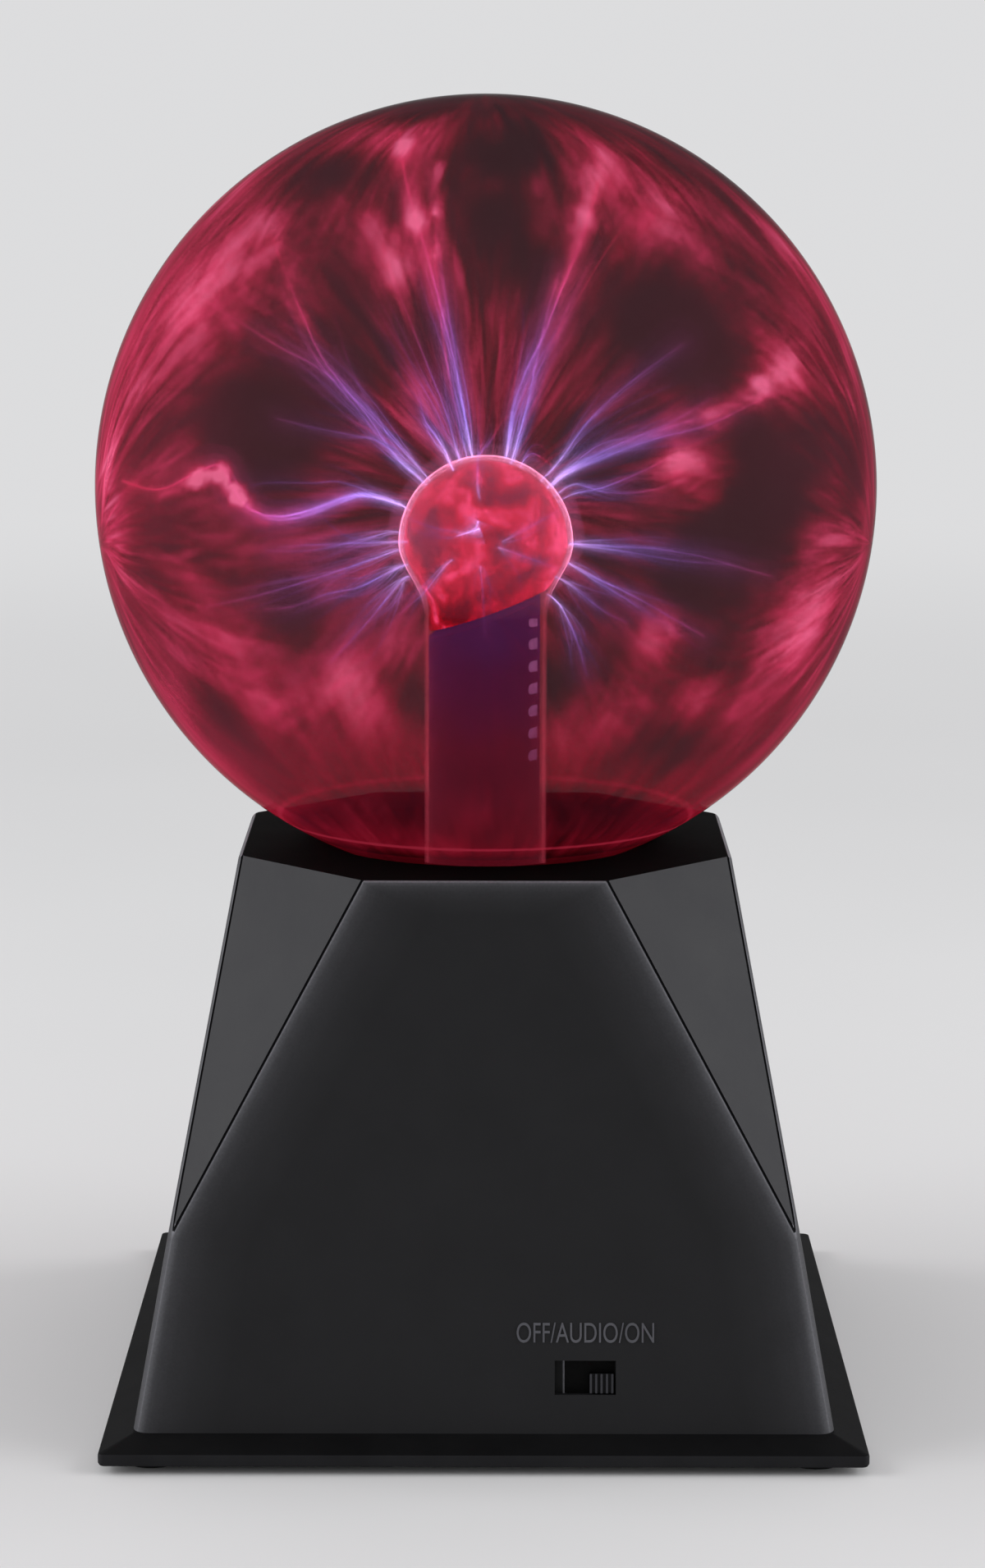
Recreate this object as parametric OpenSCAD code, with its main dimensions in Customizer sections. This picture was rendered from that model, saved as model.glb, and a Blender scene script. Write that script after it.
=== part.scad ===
// Plasma ball: a glass globe with a glass electrode, on a four-sided base with a slide switch.
// Millimetres, +Z up, front towards -Y, origin on the floor under the middle of the base.

/* [Globe] */
// Outside diameter of the glass globe
globe_d = 152; // [148:1:154]
// Thickness of the globe's glass
globe_wall = 2; // [1.6:0.1:2.4]
// Outside diameter of the neck under the globe
neck_d = 40; // [39:0.5:41]
// Depth of the neck's end below the top of the base
neck_drop = 21.5; // [20.5:0.5:22.5]

/* [Electrode] */
// Outside diameter of the electrode's bulb
bulb_d = 33.8; // [30:0.2:36]
// Height of the bulb's top above the middle of the globe
bulb_rise = 6.3; // [3:0.1:9]
// Height over which the bulb narrows to its tube
shoulder_h = 13.5; // [11:0.5:15]
// Outside diameter of the electrode's tube
tube_d = 24.2; // [24:0.1:25]
// Thickness of the electrode's glass
tube_wall = 0.8; // [0.7:0.1:1.3]
// Height of the liner's cut edge above the top of the base, at its middle
liner_rise = 43.5; // [34:0.5:44]
// Slope of the liner's cut edge in degrees
liner_slope = 20; // [5:1:22]
// Distance between the teeth along the liner's seam
tooth_pitch = 4.4; // [3.6:0.1:4.8]

/* [Base cover] */
// Width of the cover at its foot
cover_foot_w = 131; // [130:0.5:132]
// Width of the cover at its top
cover_top_w = 95; // [94:0.5:97]
// Height of the cover
cover_h = 101.4; // [100:0.1:104]
// Length of each straight edge of the octagonal top
top_edge_w = 46.5; // [45:0.5:50]
// Height at which the corner facets begin, above the cover's foot
knee_h = 35.4; // [34:0.1:38]
// Depth of the corner facets below the edges of the faces
facet_step = 0.7; // [0.4:0.1:0.9]
// Thickness of the cover's walls
wall = 2.5; // [2.3:0.1:2.7]
// Diameter of the opening for the globe
opening_d = 66.6; // [66:0.2:67]

/* [Base plate] */
// Width of the plate
plate_w = 143; // [141:0.5:146]
// Height of the plate's upright rim
rim_h = 2.5; // [2.2:0.1:2.8]
// Height that the sloping flange climbs from the rim to the cover
flange_rise = 2.1; // [1.8:0.1:2.4]
// Thickness of the plate's floor
floor_t = 3.5; // [3.2:0.1:3.8]
// Diameter of a rubber foot
foot_d = 12; // [10:0.5:12]
// Height of a rubber foot below the plate
foot_proud = 1.5; // [1:0.1:2]

/* [Switch] */
// Place of the switch's middle, to the right of the middle of the front face
switch_x = 19.75; // [15:0.25:22]
// Height of the switch window's middle above the cover's foot
switch_h = 10.3; // [9.5:0.1:12]
// Width of the switch window
window_w = 11.4; // [11.2:0.1:12]
// Height of the switch window
window_h = 6.4; // [6.3:0.1:6.8]
// Width of the knob
knob_w = 4.4; // [4.2:0.1:4.6]
// Height of the knob
knob_h = 3.6; // [3:0.1:3.6]
// Distance between neighbouring places of the knob
switch_step = 2.2; // [2:0.1:2.2]

/* [Power inlet] */
// Place of the inlet, to the right of the middle
jack_x = 20; // [18:0.5:24]
// Diameter of the inlet's centre pin
jack_pin_d = 2; // [1.9:0.1:2.1]
// Diameter of the inlet's bore
jack_bore_d = 6.4; // [6.2:0.1:6.6]
// Diameter of the hole in the cover for the plug
jack_hole_d = 10.5; // [10:0.1:11]

/* [Hidden] */
$fn = 96;

// Small allowances: a slip gap between fixed pieces, and an overlap that makes cuts clean
slip = 0.05;
over = 1;
// A length beyond the size of the whole object, for blocks that cut away all that lies outside a plane
reach = 200;
quarter_turns = [0, 90, 180, 270];
corner_signs = [[-1, -1], [1, -1], [1, 1], [-1, 1]];

// Heights, from the floor up
plate_z = foot_proud;
rim_z = plate_z + rim_h;
floor_z = plate_z + floor_t;
cover_z = rim_z + flange_rise;
knee_z = cover_z + knee_h;
top_z = cover_z + cover_h;

// The four leaning faces and the four corner facets of the cover
face_lean = atan((cover_foot_w - cover_top_w) / 2 / cover_h);
function face_half(z) = cover_foot_w / 2 - (z - cover_z) * tan(face_lean);
knee_r = face_half(knee_z) * sqrt(2);
facet_top_r = (cover_top_w + top_edge_w) / 2 / sqrt(2);
facet_lean = atan((knee_r - facet_top_r) / (top_z - knee_z));
facet_len = (top_z - knee_z) / cos(facet_lean);
facet_w = (cover_top_w - top_edge_w) / sqrt(2);
// The facets are cut a little past the top edge, where their recess still meets the top
facet_past = 1.1;

// The globe stands in the opening with a small gap all round
globe_r = globe_d / 2;
opening_gap = 0.6;
globe_z = top_z + sqrt(pow(globe_r, 2) - pow(opening_d / 2 - opening_gap, 2));
neck_r = neck_d / 2;
neck_end_z = top_z - neck_drop;
neck_root_z = globe_z - 0.8 * globe_r;

// The electrode's bulb, shoulder, tube and the disc that closes the neck
bulb_r = bulb_d / 2;
bulb_z = globe_z + bulb_rise - bulb_r;
shoulder_z = bulb_z - shoulder_h;
tube_r = tube_d / 2;
flare_t = 2;
flare_z = neck_end_z - flare_t;
curve_steps = 12;

// The liner lies inside the tube. Its open seam is at the right, with notches in the seam's front edge
liner_gap = 0.1;
liner_r = tube_r - tube_wall - liner_gap;
liner_t = 0.5;
liner_low_z = flare_z + 4;
seam_turn = -4;
seam_w = 8;
notch_turn = -30;
notch_w = 2.6;
notch_end_turn = -36;
notch_r = 1.1;
notch_count = 7;
notch_drop = 0.3;
notch_top_z = top_z + liner_rise - notch_drop;

// The contact disc inside the liner, its ferrule and the plug around it
contact_r = liner_r - liner_t - slip;
contact_t = 0.6;
contact_z = flare_z + 8;
ferrule_r = 2.2;
ferrule_z = flare_z - 3.5;
plug_flange_r = 13.4;
plug_flange_t = 3;
plug_top_z = flare_z + 6;

// The pumping tip on the flare's underside
tip_y = 16.2;
tip_r = 2;
tip_len = 8;
tip_cone = 4;
tip_end_r = 0.6;

// The cup that holds the neck, its bosses under the cover's top, and the ring of bond
bond_t = 0.5;
cup_bore_r = neck_r + bond_t;
cup_sleeve_r = cup_bore_r + 2.5;
cup_flange_r = 43;
cup_flange_t = 2.5;
cup_boss_h = 3;
cup_top_z = top_z - wall - cup_boss_h;
cup_boss_r = 38.5;
cup_boss_d = 7;
bond_low_z = neck_end_z + 1;
bond_top_z = cup_top_z - cup_flange_t - 1.5;
gasket_top_z = top_z - 0.7;
gasket_bore_r = neck_r + 1.5;
gasket_rim_gap = 0.3;

// Screws: shank radius, shank length, head radius, head height
cover_screw = [1.5, 16, 2.9, 2];
cup_screw = [1.5, 6, 2.8, 1.8];
board_screw = [1.3, 7, 2.6, 1.6];
transistor_screw_size = [1.5, 4, 2.7, 2];
switch_screw = [1, 2.3, 1.9, 1.2];
head_recess = 0.2;

// Bosses and holes for the screws through the plate
cover_boss_at = 54;
cover_boss_r = 4.5;
cover_boss_top_z = cover_z + 38;
foot_at = 62;
foot_sunk = 0.8;
foot_chamfer = 0.5;
spigot_half = face_half(cover_z) - wall / cos(face_lean) - 0.65;
spigot_t = 1.5;
spigot_h = 2;
vent_count = 7;
vent_size = [34, 2.4];
vent_pitch = 6;

// The circuit board on its posts
board_size = [80, 97, 1.6];
board_at = [-40, -40];
post_h = 6;
post_r = 3.5;
post_at = [[-35, -35], [35, -35], [-35, 51], [35, 51]];
board_z = floor_z + post_h;
board_top = board_z + board_size[2];

// The transformer: a core of two yokes and two round legs, with a coil on each leg
core_at = [-12, 2];
yoke_size = [34, 12, 8];
leg_r = 5;
leg_len = 24;
leg_dx = 11.5;
core_z = board_top + 0.4;
leg_z = core_z + yoke_size[2];
bobbin_gap = 0.2;
bobbin_len = leg_len - 2 * bobbin_gap;
bobbin_t = 1;
bobbin_flange_r = 10.8;
bobbin_flange_t = 1;
section_count = 4;
section_len = (bobbin_len - (section_count + 1) * bobbin_flange_t) / section_count;
winding_r = 10;
primary_r = 8.5;
primary_len = 22;
lead_post_r = 1.8;
lead_post_h = 5.2;
lead_post_dy = -8.4;

// The power transistor on its heat sink
sink_at = [-30, 44];
sink_size = [26, 2.5, 34];
fin_count = 6;
fin_size = [1.5, 7];
transistor_x = -17;
transistor_body = [10, 3.1, 9];
transistor_tab = [10, 1.3, 15.5];
transistor_z = board_top + 5.5;
transistor_lead = [0.8, 0.5];
transistor_pitch = 2.54;
tab_hole_z = transistor_z + 12.6;

// Other pieces on the board
capacitor_at = [[6, 48], [6, 36]];
capacitor_r = 5;
capacitor_h = 16;
capacitor_groove = 0.4;
film_at = [24, 28];
film_size = [13, 6, 11];
film_foot = 0.8;
film_wire_r = 0.4;
resistor_x = 24;
resistor_rows = [-2, 3, 8, 13, 18];
resistor_r = 1.3;
resistor_len = 6.5;
resistor_span = 10;
resistor_wire_r = 0.3;
resistor_lift = 1.6;
chip_at = [10, -24];
chip_size = [9.5, 6.4, 3.3];
chip_lift = 0.6;
chip_pin = [0.5, 0.3];
chip_pitch = 2.54;
chip_span = 7.6;
microphone_at = [-20, -28];
microphone_r = 4.8;
microphone_h = 5;
boot_t = 1.4;

// The power inlet stands on the board's rear edge, with its bore along Y
jack_size = [9, 14, 11];
jack_front_y = 59.4;
jack_axis_z = board_top + 6.5;
jack_bore_len = 9.5;
jack_pin_len = 8.5;
jack_pin_tip = 0.5;
jack_tail_d = jack_pin_d * 0.8;
jack_floor_y = jack_front_y - jack_bore_len;
jack_spring = [2.4, 6, 0.3];
jack_tab = [2.4, 0.4, 3];

// The slide switch, measured from the outer front face inwards. Its slider covers the slot at every place
window_shift = -0.85;
slot_gap = 0.3;
slot_size = [2 * (switch_step + slot_gap) + knob_w, 6.5];
slider_gap = 0.2;
slider_lap = 0.1;
slider_size = [slot_size[0] + 2 * (switch_step + slider_lap), 7.4, 1.7];
ear_gap = 0.3;
ear_margin = 2.25;
ear_x = slider_size[0] / 2 + switch_step + ear_gap + switch_screw[2];
frame_size = [2 * (ear_x + ear_margin), 9, 0.5];
frame_wall_len = 13;
knob_drop = -1.15;
knob_sunk = 0.5;
rib_count = 5;
rib_h = 0.35;
rib_w = 0.4;
frame_depth = wall + frame_size[2];
slider_depth = frame_depth + slider_gap;
contact_depth = slider_depth + slider_size[2];
contact_size = [2.9, 2.4, 0.3];
contact_leg = [0.7, 1.7];
terminal_depth = contact_depth + contact_size[2] + contact_leg[1] + 0.2;
terminal_head_t = 0.3;
terminal_size = [1.2, 0.6];
terminal_len = 4.9;
terminal_end = terminal_depth + terminal_len;
switch_board = [12.8, 7.9, 1.2];
switch_board_depth = terminal_depth + terminal_head_t;
frame_wall_depth = switch_board_depth + switch_board[2];
terminal_places = [-1.5, -0.5, 0.5, 1.5];
switch_z = cover_z + switch_h;

// Routes of the leads inside the base
lead_sides = 8;
hv_lead_r = 1.5;
hv_route = [
    [core_at[0] - leg_dx, core_at[1] + lead_post_dy, leg_z + bobbin_gap + bobbin_len + lead_post_h],
    [-23.5, -6.4, 55],
    [-20, -5, 62],
    [-11, -2.5, 67.5],
    [-3, -0.5, 71],
    [0, 0, 76],
    [0, 0, 81],
    [0, 0, contact_z - 4]
];
hv_steps = 4;
switch_lead_r = 0.6;
switch_lead_steps = 10;
switch_lead_run = 6;
switch_lead_rise = 7;
switch_lead_straight = 0.4;
switch_pad_y = -37;
switch_pad_spread = 1.5;

// Points along curves
function arc_points(radius, z, first, last) = [
    for (i = [0 : curve_steps])
        let (a = first + (last - first) * i / curve_steps)
        [radius * cos(a), z + radius * sin(a)]
];
function shoulder_points(inset) = [
    for (i = [0 : curve_steps - 1])
        let (s = i / curve_steps)
        [tube_r - inset + (bulb_r - tube_r) * (1 - cos(180 * s)) / 2, shoulder_z + shoulder_h * s]
];
function stem_side(inset) = concat(shoulder_points(inset), arc_points(bulb_r - inset, bulb_z, 0, 90));
function reversed(list) = [for (i = [len(list) - 1 : -1 : 0]) list[i]];

// A smooth curve through the points of a route, and a curve with two end directions
function route_point(route, i) = route[max(0, min(len(route) - 1, i))];
function smooth_point(route, i, t) =
    let (a = route_point(route, i - 1), b = route_point(route, i))
    let (c = route_point(route, i + 1), d = route_point(route, i + 2))
    0.5 * (2 * b + (c - a) * t + (2 * a - 5 * b + 4 * c - d) * t * t + (3 * b - a - 3 * c + d) * t * t * t);
function smooth_route(route, steps) = concat(
    [for (i = [0 : len(route) - 2]) for (s = [0 : steps - 1]) smooth_point(route, i, s / steps)],
    [route[len(route) - 1]]
);
function bend_point(a, b, c, d, t) =
    a * pow(1 - t, 3) + b * 3 * t * pow(1 - t, 2) + c * 3 * t * t * (1 - t) + d * pow(t, 3);
function unit(v) = v / norm(v);
function heading(path, i) = unit(route_point(path, i + 1) - route_point(path, i - 1));
function ring_points(at, along, radius, side) =
    let (u = unit(cross(along, side)), v = unit(cross(u, along)))
    [
        for (k = [0 : lead_sides - 1])
            let (a = 360 * k / lead_sides)
            at + radius * (cos(a) * u + sin(a) * v)
    ];

// A round lead along a path, whose rings are squared up by a direction that the path never takes
module lead(path, radius, side) {
    last = len(path) - 1;
    points = [for (i = [0 : last]) each ring_points(path[i], heading(path, i), radius, side)];
    walls = [
        for (i = [0 : last - 1])
            for (k = [0 : lead_sides - 1])
                let (a = i * lead_sides, j = (k + 1) % lead_sides)
                each [[a + k, a + j, a + lead_sides + j], [a + k, a + lead_sides + j, a + lead_sides + k]]
    ];
    start = [for (k = [lead_sides - 1 : -1 : 0]) k];
    end = [for (k = [0 : lead_sides - 1]) last * lead_sides + k];
    polyhedron(points = points, faces = concat(walls, [start, end]));
}

// All space beyond a plane: tilt leans the plane's normal away from +Z, turn swings it about Z
module beyond(distance, z, tilt, turn) {
    rotate([0, 0, turn])
        translate([distance, 0, z])
        rotate([0, tilt, 0])
        translate([-reach, -reach, 0])
        cube([2 * reach, 2 * reach, reach]);
}

module square_block(width, low, high) {
    translate([-width / 2, -width / 2, low]) cube([width, width, high - low]);
}

module ring(outer_r, inner_r, low, high) {
    translate([0, 0, low]) difference() {
        cylinder(r = outer_r, h = high - low);
        translate([0, 0, -over]) cylinder(r = inner_r, h = high - low + 2 * over);
    }
}

// Pan-head screw with a cross recess: the head hangs below z = 0 and the shank stands above it
module screw(size) {
    arm = [size[2] * 1.2, size[2] * 0.25, size[3] * 0.6];
    cylinder(r = size[0], h = size[1]);
    difference() {
        translate([0, 0, -size[3]]) cylinder(r = size[2], h = size[3]);
        for (turn = [0, 90]) rotate([0, 0, turn])
            translate([-arm[0] / 2, -arm[1] / 2, -size[3] - over]) cube([arm[0], arm[1], arm[2] + over]);
    }
}

// The cover's outer form, drawn in by an inset measured square to its faces
module cover_form(inset, facet_inset, low, high) {
    difference() {
        square_block(cover_foot_w, low, high);
        for (turn = quarter_turns) {
            beyond(cover_foot_w / 2 - inset / cos(face_lean), cover_z, 90 - face_lean, turn);
            beyond(knee_r - facet_inset / cos(facet_lean), knee_z, 90 - facet_lean, turn + 45);
        }
    }
}

module facet_recess() {
    past = facet_len * facet_past;
    half = facet_w * facet_past / 2;
    translate([knee_r, 0, knee_z])
        rotate([0, 90 - facet_lean, 0])
        translate([0, 0, -facet_step])
        linear_extrude(facet_step + over)
        polygon([[0, 0], [-past, half], [-past, -half]]);
}

// Places a piece on the front face at the switch, with local X to the right and local Z outwards
module at_switch() {
    translate([switch_x, -face_half(switch_z), switch_z]) rotate([90 - face_lean, 0, 0]) children();
}

// A block in the switch, given by its middle, its size and the depth of its outer side
module switch_block(at, size, depth) {
    translate([at[0] - size[0] / 2, at[1] - size[1] / 2, -depth - size[2]]) cube(size);
}

module at_corners(distance) {
    for (s = corner_signs) translate([s[0] * distance, s[1] * distance, 0]) children();
}

module at_cup_bosses() {
    for (turn = quarter_turns) rotate([0, 0, turn + 45]) translate([cup_boss_r, 0, 0]) children();
}

module base_cover() {
    color("#262628") difference() {
        union() {
            difference() {
                cover_form(0, 0, cover_z, top_z);
                for (turn = quarter_turns) rotate([0, 0, turn + 45]) facet_recess();
                cover_form(wall, wall + facet_step, cover_z - over, top_z - wall);
            }
            intersection() {
                at_corners(cover_boss_at)
                    translate([0, 0, floor_z + slip])
                    cylinder(r = cover_boss_r, h = cover_boss_top_z - floor_z - slip);
                cover_form(wall / 2, wall / 2 + facet_step, plate_z, top_z);
            }
            at_cup_bosses() translate([0, 0, cup_top_z]) cylinder(d = cup_boss_d, h = cup_boss_h + wall / 2);
        }
        translate([0, 0, top_z - wall - over]) cylinder(d = opening_d, h = wall + 2 * over);
        at_corners(cover_boss_at)
            cylinder(r = cover_screw[0] + slip, h = floor_z + cover_screw[1]);
        at_cup_bosses()
            translate([0, 0, cup_top_z - over])
            cylinder(r = cup_screw[0] + slip, h = cup_screw[1] - cup_flange_t + slip + over);
        translate([jack_x, jack_front_y, jack_axis_z])
            rotate([-90, 0, 0])
            cylinder(d = jack_hole_d, h = plate_w);
        at_switch() {
            switch_block([window_shift, 0], [window_w, window_h, wall + 2 * over], -over);
            for (s = [-1, 1]) translate([s * ear_x, 0, -wall - over])
                cylinder(r = switch_screw[0] + slip, h = switch_screw[1] - frame_size[2] + slip + over);
        }
    }
}

module plate_form() {
    flange_run = (plate_w - cover_foot_w) / 2;
    difference() {
        square_block(plate_w, plate_z, cover_z);
        for (turn = quarter_turns) beyond(plate_w / 2, rim_z, atan(flange_rise / flange_run), turn);
    }
}

module base_plate() {
    counterbore = cover_screw[3] + head_recess;
    color("#1b1b1c") difference() {
        union() {
            difference() {
                union() {
                    plate_form();
                    square_block(2 * spigot_half, rim_z, cover_z + spigot_h);
                }
                square_block(2 * (spigot_half - spigot_t), floor_z, top_z);
            }
            for (p = post_at) translate([p[0], p[1], floor_z - slip]) cylinder(r = post_r, h = post_h + slip);
        }
        for (p = post_at) translate([p[0], p[1], floor_z - over])
            cylinder(r = board_screw[0] + slip, h = post_h + 2 * over);
        at_corners(cover_boss_at) {
            cylinder(r = cover_screw[0] + 0.2, h = top_z);
            cylinder(r = cover_screw[2] + 0.3, h = plate_z + counterbore);
        }
        at_corners(foot_at) cylinder(d = foot_d + 2 * slip, h = plate_z + foot_sunk);
        for (i = [0 : vent_count - 1])
            translate([-vent_size[0] / 2, (i - (vent_count - 1) / 2) * vent_pitch - vent_size[1] / 2, 0])
            cube([vent_size[0], vent_size[1], top_z]);
    }
}

module rubber_feet() {
    color("#141414") at_corners(foot_at) {
        cylinder(d1 = foot_d - 2 * foot_chamfer, d2 = foot_d, h = foot_chamfer);
        translate([0, 0, foot_chamfer]) cylinder(d = foot_d, h = plate_z + foot_sunk - foot_chamfer);
    }
}

module cover_screws() {
    color("silver") at_corners(cover_boss_at)
        translate([0, 0, plate_z + cover_screw[3] + head_recess])
        screw(cover_screw);
}

module glass_globe() {
    color("#40141c", 0.5) difference() {
        union() {
            translate([0, 0, globe_z]) sphere(r = globe_r);
            translate([0, 0, neck_end_z]) cylinder(r = neck_r, h = neck_root_z - neck_end_z);
        }
        translate([0, 0, globe_z]) sphere(r = globe_r - globe_wall);
        translate([0, 0, neck_end_z - over])
            cylinder(r = neck_r - globe_wall, h = neck_root_z - neck_end_z + over);
    }
}

module electrode_stem() {
    color("#c03050", 0.6) rotate_extrude() polygon(concat(
        [
            [tube_r - tube_wall, flare_z],
            [neck_r, flare_z],
            [neck_r, neck_end_z],
            [tube_r, neck_end_z]
        ],
        stem_side(0),
        reversed(stem_side(tube_wall))
    ));
}

module exhaust_tip() {
    color("#a07078", 0.6) translate([0, tip_y, flare_z]) {
        translate([0, 0, -tip_len]) cylinder(r = tip_r, h = tip_len);
        translate([0, 0, -tip_len - tip_cone]) cylinder(r1 = tip_end_r, r2 = tip_r, h = tip_cone);
    }
}

module electrode_liner() {
    high = top_z + liner_rise;
    color("#3a1030") difference() {
        ring(liner_r, liner_r - liner_t, liner_low_z, high + 2 * liner_r);
        beyond(0, high, -liner_slope, 0);
        rotate([0, 0, seam_turn]) translate([0, -seam_w / 2, 0]) cube([tube_r, seam_w, globe_z]);
        for (k = [0 : notch_count - 1])
            translate([0, 0, notch_top_z - k * tooth_pitch]) {
                rotate([0, 0, notch_turn])
                    translate([0, -notch_w / 2, -notch_r])
                    cube([tube_r, notch_w, 2 * notch_r]);
                rotate([0, 90, notch_end_turn]) cylinder(r = notch_r, h = tube_r);
            }
    }
}

module hv_contact() {
    color("#b08d3c") difference() {
        union() {
            translate([0, 0, contact_z]) cylinder(r = contact_r, h = contact_t);
            translate([0, 0, ferrule_z]) cylinder(r = ferrule_r, h = contact_z - ferrule_z);
        }
        translate([0, 0, ferrule_z - over])
            cylinder(r = hv_lead_r + slip, h = contact_z - 4 - ferrule_z + over);
    }
}

module stem_plug() {
    color("#d8d4c8") difference() {
        union() {
            translate([0, 0, flare_z - plug_flange_t]) cylinder(r = plug_flange_r, h = plug_flange_t);
            translate([0, 0, flare_z - slip]) cylinder(r = tube_r - tube_wall - slip, h = 3.5 + slip);
            translate([0, 0, flare_z]) cylinder(r = liner_r - liner_t - slip, h = plug_top_z - flare_z);
        }
        translate([0, 0, flare_z - plug_flange_t - over])
            cylinder(r = ferrule_r + slip, h = plug_top_z - flare_z + plug_flange_t + 2 * over);
    }
}

module globe_gasket() {
    color("#101010") difference() {
        ring(opening_d / 2 - gasket_rim_gap, gasket_bore_r, cup_top_z, gasket_top_z);
        translate([0, 0, globe_z]) sphere(r = globe_r + slip, $fn = 240);
    }
}

module globe_cup() {
    color("#2e2e30") difference() {
        union() {
            translate([0, 0, cup_top_z - cup_flange_t]) cylinder(r = cup_flange_r, h = cup_flange_t);
            translate([0, 0, neck_end_z]) cylinder(r = cup_sleeve_r, h = cup_top_z - neck_end_z);
        }
        translate([0, 0, neck_end_z - over]) cylinder(r = cup_bore_r, h = neck_drop + 2 * over);
        at_cup_bosses()
            translate([0, 0, cup_top_z - cup_flange_t - over])
            cylinder(r = cup_screw[0] + 0.2, h = cup_flange_t + 2 * over);
    }
}

module neck_bond() {
    color("#e4e2dc") ring(cup_bore_r, neck_r, bond_low_z, bond_top_z);
}

module cup_screws() {
    color("silver") at_cup_bosses() translate([0, 0, cup_top_z - cup_flange_t]) screw(cup_screw);
}

module hv_lead() {
    color("#b02020") lead(smooth_route(hv_route, hv_steps), hv_lead_r, [0, 1, 0]);
}

module circuit_board() {
    color("#1f5a34") difference() {
        translate([board_at[0], board_at[1], board_z]) cube(board_size);
        for (p = post_at) translate([p[0], p[1], board_z - over])
            cylinder(r = board_screw[0] + 0.3, h = board_size[2] + 2 * over);
    }
}

module board_screws() {
    color("silver") for (p = post_at) translate([p[0], p[1], board_top]) mirror([0, 0, 1]) screw(board_screw);
}

module at_core(dx, z) {
    translate([core_at[0] + dx, core_at[1], z]) children();
}

module transformer_core() {
    color("#3b3b40") {
        for (z = [core_z, leg_z + leg_len])
            at_core(-yoke_size[0] / 2, z) translate([0, -yoke_size[1] / 2, 0]) cube(yoke_size);
        for (s = [-1, 1]) at_core(s * leg_dx, leg_z) cylinder(r = leg_r, h = leg_len);
    }
}

module primary_winding() {
    low = leg_z + (leg_len - primary_len) / 2;
    color("#b5652a") at_core(leg_dx, 0) ring(primary_r, leg_r + bobbin_gap, low, low + primary_len);
}

module secondary_bobbin() {
    low = leg_z + bobbin_gap;
    pitch = section_len + bobbin_flange_t;
    color("#d9d5c2") at_core(-leg_dx, 0) {
        ring(leg_r + bobbin_gap + bobbin_t, leg_r + bobbin_gap, low, low + bobbin_len);
        for (i = [0 : section_count])
            ring(bobbin_flange_r, leg_r + bobbin_gap, low + i * pitch, low + i * pitch + bobbin_flange_t);
        translate([0, lead_post_dy, low + bobbin_len]) cylinder(r = lead_post_r, h = lead_post_h);
    }
}

module secondary_windings() {
    low = leg_z + bobbin_gap + bobbin_flange_t;
    pitch = section_len + bobbin_flange_t;
    color("#9a4a20") at_core(-leg_dx, 0) for (i = [0 : section_count - 1])
        ring(winding_r, leg_r + bobbin_gap + bobbin_t, low + i * pitch, low + i * pitch + section_len);
}

module power_transistor() {
    face_y = sink_at[1] - transistor_tab[1];
    color("#202022") difference() {
        translate([transistor_x - transistor_tab[0] / 2, 0, 0]) union() {
            translate([0, face_y, transistor_z]) cube(transistor_tab);
            translate([0, face_y - transistor_body[1], transistor_z]) cube(transistor_body);
            for (i = [-1, 0, 1])
                translate([transistor_tab[0] / 2 + i * transistor_pitch - transistor_lead[0] / 2,
                    face_y - transistor_body[1] / 2, board_top])
                cube([transistor_lead[0], transistor_lead[1], transistor_z - board_top]);
        }
        translate([transistor_x, face_y - over, tab_hole_z])
            rotate([-90, 0, 0])
            cylinder(r = transistor_screw_size[0] + 0.2, h = transistor_tab[1] + 2 * over);
    }
}

module heat_sink() {
    pitch = (sink_size[0] - fin_size[0]) / (fin_count - 1);
    color("#a8acb0") difference() {
        translate([sink_at[0], sink_at[1], board_top]) {
            cube(sink_size);
            for (i = [0 : fin_count - 1]) translate([i * pitch, sink_size[1], 0])
                cube([fin_size[0], fin_size[1], sink_size[2]]);
        }
        translate([transistor_x, sink_at[1] - over, tab_hole_z])
            rotate([-90, 0, 0])
            cylinder(r = transistor_screw_size[0] + slip, h = sink_size[1] + 2 * over);
    }
}

module transistor_screw() {
    color("silver") translate([transistor_x, sink_at[1] - transistor_tab[1], tab_hole_z])
        rotate([-90, 0, 0])
        screw(transistor_screw_size);
}

module filter_capacitors() {
    crimp_z = capacitor_h * 0.15;
    color("#22304a") for (p = capacitor_at) translate([p[0], p[1], board_top]) difference() {
        cylinder(r = capacitor_r, h = capacitor_h);
        ring(capacitor_r + over, capacitor_r - capacitor_groove, crimp_z, crimp_z + 2 * capacitor_groove);
    }
}

module film_capacitor() {
    color("#8a2f24") translate([film_at[0] - film_size[0] / 2, film_at[1] - film_size[1] / 2, board_top]) {
        translate([0, 0, film_foot]) cube(film_size);
        for (x = [0.2, 0.8]) translate([film_size[0] * x, film_size[1] / 2, 0])
            cylinder(r = film_wire_r, h = film_foot);
    }
}

module resistors() {
    color("#c9ab7c") for (y = resistor_rows) translate([resistor_x, y, board_top]) {
        translate([-resistor_len / 2, 0, resistor_lift])
            rotate([0, 90, 0])
            cylinder(r = resistor_r, h = resistor_len);
        translate([-resistor_span / 2, 0, resistor_lift])
            rotate([0, 90, 0])
            cylinder(r = resistor_wire_r, h = resistor_span);
        for (s = [-1, 1]) translate([s * (resistor_span / 2 - resistor_wire_r), 0, 0])
            cylinder(r = resistor_wire_r, h = resistor_lift);
    }
}

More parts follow.
